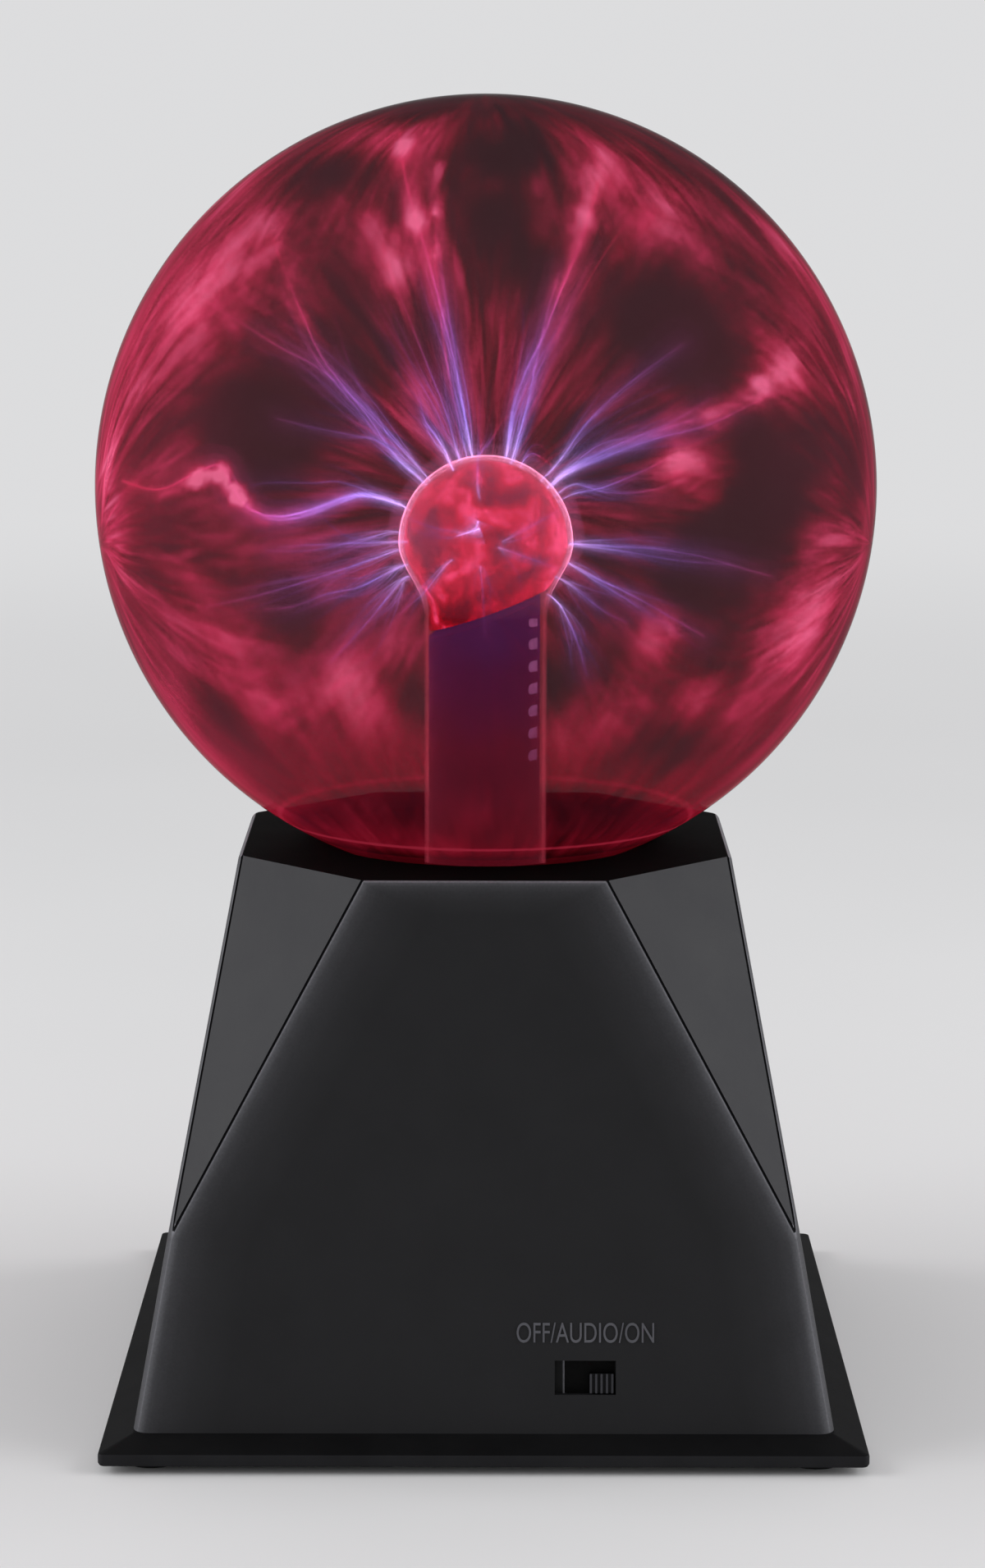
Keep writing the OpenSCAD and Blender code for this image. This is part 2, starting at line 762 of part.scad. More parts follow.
module control_chip() {
    color("#1a1a1c") translate([chip_at[0], chip_at[1], board_top]) {
        translate([-chip_size[0] / 2, -chip_size[1] / 2, chip_lift]) cube(chip_size);
        for (i = [-1.5 : 1.5]) for (s = [-1, 1])
            translate([i * chip_pitch - chip_pin[0] / 2, s * chip_span / 2 - chip_pin[1] / 2, 0])
            cube([chip_pin[0], chip_pin[1], chip_size[2] / 2 + chip_lift]);
        for (i = [-1.5 : 1.5])
            translate([i * chip_pitch - chip_pin[0] / 2, -chip_span / 2, chip_size[2] / 2])
            cube([chip_pin[0], chip_span, chip_pin[1]]);
    }
}

module microphone() {
    color("#b8bcc0") translate([microphone_at[0], microphone_at[1], board_top])
        cylinder(r = microphone_r, h = microphone_h);
}

module microphone_boot() {
    color("#181818") translate([microphone_at[0], microphone_at[1], board_top])
        ring(microphone_r + boot_t, microphone_r + slip, 0, microphone_h);
}

// Points a piece of the inlet along its bore, with local Z towards the mouth and z = 0 at the bore's floor
module at_jack() {
    translate([jack_x, jack_floor_y, jack_axis_z]) rotate([-90, 0, 0]) children();
}

module dc_jack() {
    spring_room = [jack_spring[0] + 0.4, jack_spring[1] + 0.4, jack_spring[2] + 0.3];
    color("#17171a") difference() {
        translate([jack_x - jack_size[0] / 2, jack_front_y - jack_size[1], board_top]) cube(jack_size);
        at_jack() {
            cylinder(d = jack_bore_d, h = jack_bore_len + over);
            translate([0, 0, -jack_size[1]]) cylinder(d = jack_tail_d + 2 * slip, h = jack_size[1] + over);
            translate([-spring_room[0] / 2, jack_bore_d / 2 - over, 1])
                cube([spring_room[0], spring_room[2] + over, spring_room[1]]);
        }
    }
}

module jack_pin() {
    tail = jack_size[1] - jack_bore_len;
    straight = jack_pin_len - jack_pin_tip;
    color("silver") at_jack() {
        translate([0, 0, -tail]) cylinder(d = jack_tail_d, h = tail);
        cylinder(d = jack_pin_d, h = straight);
        translate([0, 0, straight]) cylinder(d1 = jack_pin_d, d2 = jack_pin_d * 0.6, h = jack_pin_tip);
    }
}

module jack_contacts() {
    tail_y = jack_front_y - jack_size[1];
    color("#c8b878") {
        at_jack() translate([-jack_spring[0] / 2, jack_bore_d / 2, 1.2])
            cube([jack_spring[0], jack_spring[2], jack_spring[1]]);
        translate([jack_x - jack_tab[0] / 2, tail_y - jack_tab[1], board_top])
            cube(jack_tab);
    }
}

module switch_frame() {
    wall_size = [frame_wall_len, frame_size[2], frame_wall_depth - frame_depth];
    color("#77787c") at_switch() difference() {
        union() {
            switch_block([0, 0], frame_size, wall);
            for (s = [-1, 1])
                switch_block([0, s * (frame_size[1] - frame_size[2]) / 2], wall_size, frame_depth);
        }
        switch_block([0, 0], [slot_size[0], slot_size[1], frame_size[2] + 2 * over], wall - over);
        for (s = [-1, 1]) translate([s * ear_x, 0, -frame_depth - over])
            cylinder(r = switch_screw[0] + 0.1, h = frame_size[2] + 2 * over);
    }
}

module terminal_board() {
    color("#6b4a2c") at_switch() difference() {
        switch_block([0, 0], switch_board, switch_board_depth);
        for (i = terminal_places)
            switch_block([i * switch_step, 0],
                [terminal_size[0] + 2 * slip, terminal_size[1] + 2 * slip, switch_board[2] + 2 * over],
                switch_board_depth - over);
    }
}

module switch_terminals() {
    color("#c8b878") at_switch() for (i = terminal_places) {
        switch_block([i * switch_step, 0], [terminal_size[0] + 0.5, terminal_size[1] + 1.4, terminal_head_t],
            terminal_depth);
        switch_block([i * switch_step, 0], [terminal_size[0], terminal_size[1], terminal_len],
            terminal_depth);
    }
}

module switch_screws() {
    color("silver") at_switch() for (s = [-1, 1]) translate([s * ear_x, 0, -frame_depth]) screw(switch_screw);
}

module switch_leads() {
    inward = [0, cos(face_lean), -sin(face_lean)];
    middle = [switch_x, -face_half(switch_z), switch_z];
    color("#a83226") for (i = terminal_places) {
        first = middle + [i * switch_step, 0, 0] + inward * terminal_end;
        last = [switch_x + i * switch_step * switch_pad_spread, switch_pad_y, board_top];
        // Both ends run straight for a little, so that they meet the terminal and the board squarely
        leave = first + inward * switch_lead_straight;
        land = last + [0, 0, switch_lead_straight];
        bend = [
            for (k = [0 : switch_lead_steps])
                bend_point(leave, leave + inward * switch_lead_run, land + [0, 0, switch_lead_rise], land,
                    k / switch_lead_steps)
        ];
        lead(concat([first], bend, [last]), switch_lead_r, [1, 0, 0]);
    }
}

module switch_knob() {
    head_depth = knob_sunk + rib_h;
    rib_pitch = (knob_w - rib_w) / (rib_count - 1);
    color("#1d1d1f") at_switch() translate([switch_step, 0, 0]) {
        switch_block([0, 0], slider_size, slider_depth);
        switch_block([0, knob_drop], [knob_w, knob_h, slider_depth - head_depth], head_depth);
        for (i = [0 : rib_count - 1])
            switch_block([(rib_w - knob_w) / 2 + i * rib_pitch, knob_drop], [rib_w, knob_h, rib_h],
                knob_sunk);
    }
}

module switch_contact() {
    leg_size = [contact_leg[0], contact_size[1], contact_leg[1]];
    color("#c8b878") at_switch() translate([switch_step, 0, 0]) {
        switch_block([0, 0], contact_size, contact_depth);
        for (s = [-1, 1])
            switch_block([s * switch_step / 2, 0], leg_size, contact_depth + contact_size[2]);
    }
}

base_cover();
base_plate();
rubber_feet();
cover_screws();
glass_globe();
electrode_stem();
exhaust_tip();
electrode_liner();
hv_contact();
stem_plug();
globe_gasket();
globe_cup();
neck_bond();
cup_screws();
hv_lead();
circuit_board();
board_screws();
transformer_core();
primary_winding();
secondary_bobbin();
secondary_windings();
power_transistor();
heat_sink();
transistor_screw();
filter_capacitors();
film_capacitor();
resistors();
control_chip();
microphone();
microphone_boot();
dc_jack();
jack_pin();
jack_contacts();
switch_frame();
terminal_board();
switch_terminals();
switch_screws();
switch_leads();
switch_knob();
switch_contact();
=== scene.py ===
"""Looks of the plasma ball: plastics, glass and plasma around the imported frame. Lengths are in metres."""

import math
import random
from functools import partialmethod

import bmesh
import bpy
from mathutils import Matrix, Vector


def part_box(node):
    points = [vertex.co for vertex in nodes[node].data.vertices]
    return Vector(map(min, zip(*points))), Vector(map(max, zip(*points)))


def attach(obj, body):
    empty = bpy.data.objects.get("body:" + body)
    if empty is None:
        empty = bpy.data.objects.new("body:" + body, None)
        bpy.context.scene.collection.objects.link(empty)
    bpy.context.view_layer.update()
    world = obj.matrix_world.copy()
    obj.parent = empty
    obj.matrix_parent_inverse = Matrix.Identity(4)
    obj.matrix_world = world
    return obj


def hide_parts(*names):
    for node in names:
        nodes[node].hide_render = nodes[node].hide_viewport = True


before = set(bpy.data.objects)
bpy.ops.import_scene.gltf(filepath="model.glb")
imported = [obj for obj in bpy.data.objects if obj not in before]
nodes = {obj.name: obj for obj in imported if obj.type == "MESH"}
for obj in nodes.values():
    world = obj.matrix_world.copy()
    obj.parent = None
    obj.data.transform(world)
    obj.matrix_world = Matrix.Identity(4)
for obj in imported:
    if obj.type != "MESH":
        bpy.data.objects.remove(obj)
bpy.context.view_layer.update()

MM = 0.001
TINY = 1e-9
UP_AXIS = Vector((0, 0, 1))
CORNERS = ((-1, -1), (1, -1), (1, 1), (-1, 1))

# The camera, fitted to the photograph's outline
IMAGE_WIDTH = 1200
FOCAL_PIXELS = 4721
SENSOR_MM = 36
CAMERA_AT = Vector((1.4, -755.2, 251.2)) * MM
CAMERA_PITCH = math.radians(10.04)
CAMERA_ROLL = math.radians(0.11)

# Sizes that the frame gives
globe_low, globe_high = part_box("glass_globe")
GLOBE_R = (globe_high.x - globe_low.x) / 2
GLOBE_Z = globe_high.z - GLOBE_R
NECK_END_Z = globe_low.z
stem_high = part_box("electrode_stem")[1]
NECK_R = stem_high.x
TOP_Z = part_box("base_cover")[1].z
plate_low, plate_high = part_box("base_plate")
liner_low, liner_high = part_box("electrode_liner")

# Sizes of the glass
GLOBE_WALL = 2 * MM
BULB_R = 16.9 * MM
BULB_Z = stem_high.z - BULB_R
SHOULDER_H = 13.5 * MM
TUBE_R = 12.1 * MM
TUBE_WALL = 0.8 * MM
FLARE_T = 2 * MM
GLOBE_CENTRE = Vector((0, 0, GLOBE_Z))
BULB_CENTRE = Vector((0, 0, BULB_Z))

# Sizes of the cover's outer form
COVER_Z = 6.1 * MM
KNEE_Z = 41.5 * MM
FOOT_HALF = 65.5 * MM
TOP_HALF = 47.5 * MM
TOP_EDGE_HALF = 23.25 * MM
FACET_STEP = 0.7 * MM
FACE_SLOPE = (FOOT_HALF - TOP_HALF) / (TOP_Z - COVER_Z)
FACE_LEAN = math.atan(FACE_SLOPE)
# Width of the painted highlight along the cover's edges
PAINTED_HIGHLIGHT_WIDTH = 16 * MM
SLOT_LEFT_X = 15.05 * MM

# Glass, darkened as painted shade for a dark room, lets this share of the light through, and what glows
# inside is brighter by as much
GLASS_ALPHA = 0.86
BOOST = 1 / (1 - GLASS_ALPHA)


def face_half(z):
    """Half of the cover's width at a height."""
    return FOOT_HALF - (z - COVER_Z) * FACE_SLOPE


def linear(colour):
    """The linear colour that a shader takes, from a screen colour such as 2a2a2c or from a level of grey."""
    if isinstance(colour, tuple):
        return colour
    if not isinstance(colour, str):
        return (colour, colour, colour, 1)
    parts = [int(colour[i:i + 2], 16) / 255 for i in (0, 2, 4)]
    return tuple(c / 12.92 if c <= 0.04045 else ((c + 0.055) / 1.055) ** 2.4 for c in parts) + (1,)


def darker(colour, share):
    return tuple(c * share for c in linear(colour)[:3]) + (1,)


class Shader:
    """Builds the node tree of a new material, or of the world."""

    def __init__(self, owner, output="OutputMaterial"):
        self.owner = bpy.data.materials.new(owner) if isinstance(owner, str) else owner
        self.owner.use_nodes = True
        self.tree = self.owner.node_tree
        self.tree.nodes.clear()
        self.output = self.add(output)

    def add(self, kind, inputs=(), **settings):
        """Adds a node. Inputs, by name or number, take a value, a screen colour or a socket."""
        made = self.tree.nodes.new(f"ShaderNode{kind}")
        for name, value in settings.items():
            setattr(made, name, value)
        for key, value in dict(inputs).items():
            if isinstance(value, bpy.types.NodeSocket):
                self.tree.links.new(value, made.inputs[key])
            else:
                made.inputs[key].default_value = linear(value) if isinstance(value, str) else value
        return made

    def place(self):
        return self.add("TexCoord").outputs["Object"]

    def at(self):
        """The coordinates of a point, by the name of their axis."""
        return self.add("SeparateXYZ", {"Vector": self.place()}).outputs

    def noise(self, scale, detail=4.0, roughness=0.5, distortion=0.0, vector=None):
        return self.add("TexNoise", {
            "Vector": vector or self.place(), "Scale": scale, "Detail": detail,
            "Roughness": roughness, "Distortion": distortion,
        }).outputs["Fac"]

    def attribute(self, name):
        return self.add("Attribute", attribute_name=name).outputs["Fac"]

    def math(self, operation, first, second=0.0, clamp=False):
        return self.add("Math", {0: first, 1: second}, operation=operation, use_clamp=clamp).outputs[0]

    plus = partialmethod(math, "ADD")
    minus = partialmethod(math, "SUBTRACT")
    times = partialmethod(math, "MULTIPLY")

    def vector(self, operation, *inputs):
        return self.add("VectorMath", dict(enumerate(inputs)), operation=operation).outputs[0]

    def mix(self, share, first, second):
        return self.add("Mix", {0: share, 6: first, 7: second}, data_type="RGBA").outputs[2]

    def spread(self, value, low, high, to_low=0.0, to_high=1.0, smooth=False):
        """Maps a range of a value to another range, and holds it at the ends."""
        kind = "SMOOTHSTEP" if smooth else "LINEAR"
        return self.add("MapRange", {
            "Value": value, "From Min": low, "From Max": high, "To Min": to_low, "To Max": to_high,
        }, interpolation_type=kind).outputs["Result"]

    def ramp(self, value, *stops):
        """A colour that goes with a value through stops, each a value and a colour."""
        made = self.add("ValToRGB", {"Fac": value})
        elements = made.color_ramp.elements
        while len(elements) < len(stops):
            elements.new(1.0)
        for element, (place, colour) in zip(elements, stops):
            element.position = place
            element.color = linear(colour)
        return made.outputs["Color"]

    def surface(self, shader):
        self.tree.links.new(shader.outputs[0], self.output.inputs["Surface"])
        return self.owner

    def principled(self, colour, roughness, specular=0.5, bump=None, **more):
        """A solid surface. A bump has a height, a strength and a distance."""
        inputs = {name.replace("_", " "): value for name, value in more.items()}
        inputs.update({"Base Color": colour, "Roughness": roughness, "Specular IOR Level": specular})
        if bump:
            relief = self.add("Bump", dict(zip(("Height", "Strength", "Distance"), bump)))
            inputs["Normal"] = relief.outputs["Normal"]
        return self.surface(self.add("BsdfPrincipled", inputs))

    def blend(self, share, first, second):
        return self.surface(self.add("MixShader", {0: share, 1: first.outputs[0], 2: second.outputs[0]}))

    def glow(self, alpha, colour, strength):
        """Light that shows what lies behind it."""
        self.owner.cycles.emission_sampling = "NONE"
        light = self.add("Emission", {"Color": colour, "Strength": strength})
        return self.blend(alpha, self.add("BsdfTransparent"), light)

    def glowing_body(self, colour, strength):
        """Light from the whole inside of a closed form."""
        light = self.add("Emission", {"Color": colour, "Strength": strength})
        self.tree.links.new(light.outputs[0], self.output.inputs["Volume"])


# Moulded surfaces: size of the patches and of the grain, and height of the grain
PATCH = 14 * MM
GRAIN = 0.45 * MM
RELIEF = 0.03 * MM


def moulded(name, dark, light, roughness, specular, grain=GRAIN, relief=RELIEF):
    """Moulded plastic or rubber: a fine grain in relief, and faint patches of colour and gloss."""
    s = Shader(name)
    patches = s.noise(1 / PATCH, 5, 0.6)
    fine = s.noise(1 / grain, 2, 0.5)
    rough = s.spread(s.plus(patches, s.times(fine, 0.5)), 0.4, 1.1, roughness - 0.06, roughness + 0.08)
    return s.principled(s.ramp(patches, (0.3, dark), (0.7, light)), rough, specular, (fine, 0.5, relief))


def face_reach(s, at):
    """How far from the middle the cover's faces lie, at a point's height."""
    return s.minus(face_half(0), s.times(at["Z"], FACE_SLOPE))


def edge_distance(s):
    """How far a point of one of the cover's faces lies from the face's sides and top, in metres."""
    at = s.at()
    across = s.math("MINIMUM", s.math("ABSOLUTE", at["X"]), s.math("ABSOLUTE", at["Y"]))
    narrowing = (face_half(KNEE_Z) - TOP_EDGE_HALF) / (TOP_Z - KNEE_Z)
    above_knee = s.minus(TOP_EDGE_HALF + narrowing * TOP_Z, s.times(at["Z"], narrowing))
    side = s.minus(s.math("MINIMUM", face_reach(s, at), above_knee), across)
    return s.math("MINIMUM", side, s.times(s.minus(TOP_Z, at["Z"]), 2.5))


def panel_plastic():
    """The cover's fine-grained faces, with a painted highlight that makes them paler along their edges."""
    s = Shader("cover_panel")
    patches = s.noise(1 / PATCH, 5, 0.6)
    fine = s.noise(1 / GRAIN, 2, 0.5)
    # Painted highlight: the colour goes pale near the faces' sides and top, standing in for side light caught
    # by the rounded edges.
    edge = s.ramp(s.spread(edge_distance(s), 0, PAINTED_HIGHLIGHT_WIDTH), (0.0, 1), (0.035, 0.95), (0.07, 0.36),
                  (0.15, 0.17), (0.32, 0.08), (0.6, 0.03), (1.0, 0))
    painted_highlight = s.times(edge, s.spread(s.plus(patches, fine), 0.7, 1.3, 0.75, 1.15), clamp=True)
    plain = s.ramp(patches, (0.3, "171719"), (0.7, "1d1d1f"))
    rough = s.spread(patches, 0.3, 0.7, 0.58, 0.7)
    return s.principled(s.mix(painted_highlight, plain, "74747a"), rough, 0.2, (fine, 0.5, RELIEF))


def metal(name, colour, roughness, stretch=(1, 1, 12)):
    """Metal with fine lines of working and cloudy tarnish."""
    s = Shader(name)
    lined = s.add("Mapping", {"Vector": s.place(), "Scale": stretch}).outputs["Vector"]
    lines = s.noise(900, 3, 0.6, vector=lined)
    tarnished = s.ramp(s.noise(120, 4, 0.6), (0.3, darker(colour, 0.72)), (0.65, colour))
    rough = s.spread(lines, 0.3, 0.7, roughness - 0.08, roughness + 0.1)
    return s.principled(tarnished, rough, bump=(lines, 0.25, 0.02 * MM), Metallic=1.0)


def knob_plastic():
    """The slider, with painted shade that deepens with depth behind the face: pale on its ribs, dark between
    them, and black where it lies deep in the window.
    """
    s = Shader("knob_plastic")
    at = s.at()
    depth = s.times(s.plus(at["Y"], face_reach(s, at)), math.cos(FACE_LEAN))
    grain = s.times(s.noise(1 / (0.3 * MM), 2), 0.02)
    # Painted shade: the colour darkens with depth behind the face, standing in for the shade in the window's
    # recess.
    colour = s.ramp(s.plus(s.spread(depth, 0, 3 * MM), grain), (0.19, "3c3c40"), (0.27, "161618"),
                    (0.5, "0c0c0d"), (0.8, "020202"))
    return s.principled(colour, s.spread(grain, 0.005, 0.015, 0.45, 0.6), 0.08)


def blackened_frame():
    """The switch's steel frame, near black as painted shade of the window's recess, with a painted highlight
    along its slot's left edge.
    """
    s = Shader("blackened_frame")
    gap = s.math("ABSOLUTE", s.minus(s.at()["X"], SLOT_LEFT_X))
    # Painted highlight: a pale strip in patches along the slot's left edge; the rest of the frame is
    # near-black painted shade.
    painted_highlight_mask = s.times(s.spread(gap, 0.1 * MM, 0.4 * MM, 1, 0), s.spread(s.noise(700), 0.3, 0.7, 0.5, 1))
    return s.principled(s.ramp(painted_highlight_mask, (0.0, "0a0a0b"), (1.0, "8a8a90")), 0.5, 0.15, (painted_highlight_mask, 0.2, 0.02 * MM))


def wound_wire(name, colour, turn):
    """Layers of enamelled wire, one ridge for each turn, with painted shade between the turns."""
    s = Shader(name)
    ridges = s.add("TexWave", {"Vector": s.place(), "Scale": 0.05 / turn, "Distortion": 0.4, "Detail": 1.0},
                   bands_direction="Z").outputs["Fac"]
    # Painted shade: the wire's colour darkens between the ridges, where the turns meet.
    lit = s.ramp(ridges, (0.0, darker(colour, 0.35)), (0.6, colour))
    return s.principled(lit, s.spread(ridges, 0, 1, 0.5, 0.3), bump=(ridges, 0.8, 0.2 * MM), Metallic=0.6)


def board_mask():
    """Green solder mask over a net of copper tracks."""
    s = Shader("board_mask")
    cells = s.add("TexVoronoi", {"Vector": s.place(), "Scale": 160, "Randomness": 0.35},
                  feature="DISTANCE_TO_EDGE", distance="CHEBYCHEV").outputs["Distance"]
    tracks = s.spread(cells, 0.05, 0.09, 1, 0)
    rough = s.spread(s.noise(300), 0.3, 0.7, 0.3, 0.45)
    colour = s.ramp(tracks, (0.0, "16492b"), (1.0, "2c7a4a"))
    return s.principled(colour, rough, bump=(tracks, 0.5, 0.04 * MM))


def banded_resistors():
    """Tan lacquer with coloured rings across the body."""
    s = Shader("banded_resistors")
    tan, brown, red, gold, wire = "c9ab7c", "5a3016", "a82a1c", "a8862c", "b8b8b8"
    low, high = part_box("resistors")
    made = s.ramp(s.spread(s.at()["X"], low.x, high.x), (0.0, wire), (0.17, tan), (0.26, brown), (0.34, tan),
                  (0.4, red), (0.48, tan), (0.54, brown), (0.62, tan), (0.7, gold), (0.77, tan), (0.83, wire))
    made.node.color_ramp.interpolation = "CONSTANT"
    return s.principled(made, s.spread(s.noise(500), 0.3, 0.7, 0.3, 0.42))


# Dark tints of the globe's glass: painted shade that stands in for a dark room behind it
PAINTED_SHADE_GLASS = ((0.3, "0a0608"), (0.7, "120a10"))


def globe_glass():
    """Glass darkened as painted shade for a dark room, see-through, with faint smears in its polish."""
    s = Shader("globe_glass")
    smears = s.noise(30, 6, 0.65, 1.5)
    polish = s.spread(smears, 0.35, 0.7, 0.03, 0.1)
    return s.principled(s.ramp(smears, *PAINTED_SHADE_GLASS), polish, 0.0002, Alpha=GLASS_ALPHA)


def inner_glass():
    """The globe's inner surface, all but invisible."""
    s = Shader("inner_glass")
    return s.principled(s.ramp(s.noise(30), *PAINTED_SHADE_GLASS), 0.3, 0.0, Alpha=0.01)


def stem_glass():
    """Clear glass of the electrode, which glows faintly as a painted highlight and so has bright edges."""
    s = Shader("stem_glass")
    # Painted highlight: a faint glow inside the glass, which makes its edges bright.
    s.glowing_body("ff5a74", 24 * BOOST)
    return s.principled(s.ramp(s.noise(60), (0.3, "3a0c18"), (0.7, "521222")), 0.06, 0.02, Alpha=0.12)


def gas_glow(name, colour, strength):
    """Thin layer of bright gas around the bulb, brightest at its outline, which on the thin sheath is partly
    a painted highlight.
    """
    s = Shader(name)
    s.glowing_body(colour, strength * BOOST)
    return s.glow(s.spread(s.noise(80), 0.3, 0.7, 0.004, 0.012), colour, 0.3 * BOOST)


# Heights in the globe's glow between which rings of painted reflection show at its foot, clouds fade in, deep
# red goes over to pink, and the light of the outline fades in
PAINTED_REFLECTION_RINGS = (106 * MM, 120 * MM)
CLOUDS_START = (108.5 * MM, 111.5 * MM)
DEEP_RED = (112 * MM, 142 * MM)
OUTLINE_START = (110 * MM, 125 * MM)

WALL_ALPHA = 0.62
WALL_LIGHT = 1.15
WALL_FULL = 1.6
EDGE_LIGHT = 5

# Scale and amount of the noises that break up the clouds: even ones, and ones drawn out away from the bulb
EVEN_SWIRLS = ((30, 1.7), (75, 0.35))
LONG_SWIRLS = ((7, 2.1), (20, 1.25))


def swirls(s):
    """Uneven values about nought, with streaks away from the bulb on every side of the globe."""
    drift = s.noise(9, 3, 0.5)
    shift = s.add("CombineXYZ", {0: s.times(drift, 0.03), 1: s.times(drift, -0.03), 2: s.times(drift, 0.02)})
    pushed = s.vector("ADD", s.place(), shift.outputs[0])
    from_bulb = s.vector("SUBTRACT", s.place(), BULB_CENTRE)
    outwards = s.vector("NORMALIZE", s.vector("SUBTRACT", s.place(), GLOBE_CENTRE))
    shares = s.add("SeparateXYZ", {"Vector": s.vector("MULTIPLY", outwards, outwards)}).outputs
    layers = [(scale, pushed, amount, 1.0) for scale, amount in EVEN_SWIRLS]
    for flat, share in zip(((0, 1, 1), (1, 0, 1), (1, 1, 0)), shares):
        spokes = s.vector("NORMALIZE", s.vector("MULTIPLY", from_bulb, flat))
        slow = s.vector("MULTIPLY_ADD", pushed, (4, 5, 4), spokes)
        layers += [(scale, slow, amount, share) for scale, amount in LONG_SWIRLS]
    total = 0.0
    for scale, vector, amount, share in layers:
        part = s.times(s.minus(s.noise(scale, 1, 0.45, 0.5, vector), 0.5), amount)
        total = s.plus(s.times(part, share), total)
    return total


def wall_glow():
    """Glow in the globe's glass, which lights its outline, and clouds where the attribute says, broken up."""
    s = Shader("wall_glow")
    at = s.at()
    height = at["Z"]
    thick = s.attribute("cloud_cover")
    calm = s.times(s.spread(height, GLOBE_Z - 0.75 * GLOBE_R, GLOBE_Z - 0.3 * GLOBE_R, 0.7, 1.2),
                   s.spread(thick, 0.8, 1.7, 1, 0.55))
    broken = s.math("MAXIMUM", s.plus(s.times(swirls(s), calm), 1.0), 0.0)
    clouds = s.times(s.times(thick, broken), s.spread(height, *CLOUDS_START, 0.15, 1))
    # Painted reflection: bright rings at the globe's foot stand in for the glow mirrored in the glass's
    # thickness, stronger at the front.
    rings = s.ramp(s.spread(height, *PAINTED_REFLECTION_RINGS), (0.0, 0.3), (0.2, 0.36), (0.24, 0), (0.4, 0), (0.42, 0.8),
                   (0.44, 0.8), (0.47, 0.08), (0.8, 0))
    value = s.plus(clouds, s.times(rings, s.spread(at["Y"], -0.02, 0.02, 1, 0.35)))
    alpha = s.spread(value, 0.1, WALL_FULL, 0.003, WALL_ALPHA, smooth=True)
    pink = s.ramp(s.spread(value, 0, WALL_FULL), (0.0, "8c1424"), (0.28, "ac1e36"), (0.55, "d43860"),
                  (0.9, "f06c94"))
    colour = s.mix(s.spread(height, *DEEP_RED, 0.9, 0, smooth=True), pink, "8c0416")
    level = s.ramp(s.spread(height, GLOBE_Z - GLOBE_R, GLOBE_Z + GLOBE_R), (0.15, 0.75), (0.5, 1),
                   (0.85, 0.55), (1.0, 0.1))
    side = s.spread(at["X"], -GLOBE_R, GLOBE_R, 1.9, 0.9)
    uneven = s.times(s.spread(s.noise(16, 2), 0.3, 0.7, 0.55, 1.45), s.spread(height, *OUTLINE_START, 0.1, 1))
    s.glowing_body("ff4070", s.times(s.times(level, side), s.times(uneven, EDGE_LIGHT * BOOST)))
    return s.glow(alpha, colour, WALL_LIGHT * BOOST)


def bulb_glow():
    """Mottled red and pink light on the inside of the electrode's bulb."""
    s = Shader("bulb_glow")
    specks = s.times(s.minus(s.noise(420, 3, 0.5), 0.5), 0.25)
    value = s.plus(s.noise(110, 5, 0.55, 0.6), specks)
    colour = s.ramp(value, (0.36, "5c0008"), (0.47, "98000f"), (0.56, "c40c28"), (0.68, "fa4470"))
    return s.glow(s.spread(value, 0.3, 0.7, 0.86, 0.95), colour, 1.05 * BOOST)


def up_liner(s, cloudy):
    """A value that goes up the liner from 0 to 1, with a cloudy value on top."""
    return s.plus(s.spread(s.at()["Z"], TOP_Z, liner_high.z), cloudy)


def core_glow():
    """Dim purple light in the liner, which shows in the notches of its seam."""
    s = Shader("core_glow")
    uneven = up_liner(s, s.times(s.noise(160, 3), 0.3))
    colour = s.ramp(uneven, (0.2, "5c1830"), (0.9, "7c4470"))
    return s.glow(s.spread(uneven, 0, 1.2, 0.9, 0.96), colour, BOOST)


def liner_film():
    """Dark coated sheet with painted light on it: a glow that goes from purple at its cut edge to deep red
    below.
    """
    s = Shader("liner_film")
    uneven = up_liner(s, s.times(s.noise(70, 5), 0.35))
    colour = s.ramp(uneven, (0.2, "340812"), (0.55, "4c0c22"), (0.85, "42103c"), (1.0, "38164c"))
    # Painted light: the sheet glows though it is no lamp, in the colour above.
    return s.principled((0.02, 0.005, 0.01, 1), s.spread(uneven, 0, 1.2, 0.35, 0.5), 0.2,
                        Emission_Color=colour, Emission_Strength=0.65 * BOOST)


def plasma(name, alpha):
    """A streamer's light: violet at the electrode and pink at the glass, as its attributes say."""
    s = Shader(name)
    colour = s.ramp(s.attribute("tint"), (0.0, "dcb0ff"), (0.2, "8a6ecc"), (0.45, "9656ac"), (0.7, "d84880"),
                    (1.0, "d83058"))
    smoke = s.spread(s.noise(85, 5, 0.6, 1.0), 0.36, 0.64, 1 - THREAD_BREAKS, 1 + THREAD_BREAKS)
    shown = s.times(s.attribute("gain"), s.times(smoke, alpha), clamp=True)
    return s.glow(shown, colour, THREAD_LIGHT * BOOST)


def new_object(name, data, *materials):
    made = bpy.data.objects.new(name, data)
    bpy.context.scene.collection.objects.link(made)
    for material in materials:
        data.materials.append(material)
    return made


def add_piece(name, mesh, slot, *materials, replaced=(), angle=180):
    """Adds a piece of the base, with smooth shading between faces that meet at less than an angle."""
    piece = new_object(name, mesh, *materials)
    if angle:
        mesh.shade_smooth()
    if 0 < angle < 180:
        mesh.set_sharp_from_angle(angle=math.radians(angle))
    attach(piece, "base")
    if replaced:
        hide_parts(*replaced)
    return piece


def evaluated_mesh(obj):
    """The mesh of an object with its modifiers applied. The object goes."""
    graph = bpy.context.evaluated_depsgraph_get()
    mesh = bpy.data.meshes.new_from_object(obj.evaluated_get(graph))
    bpy.data.objects.remove(obj)
    return mesh


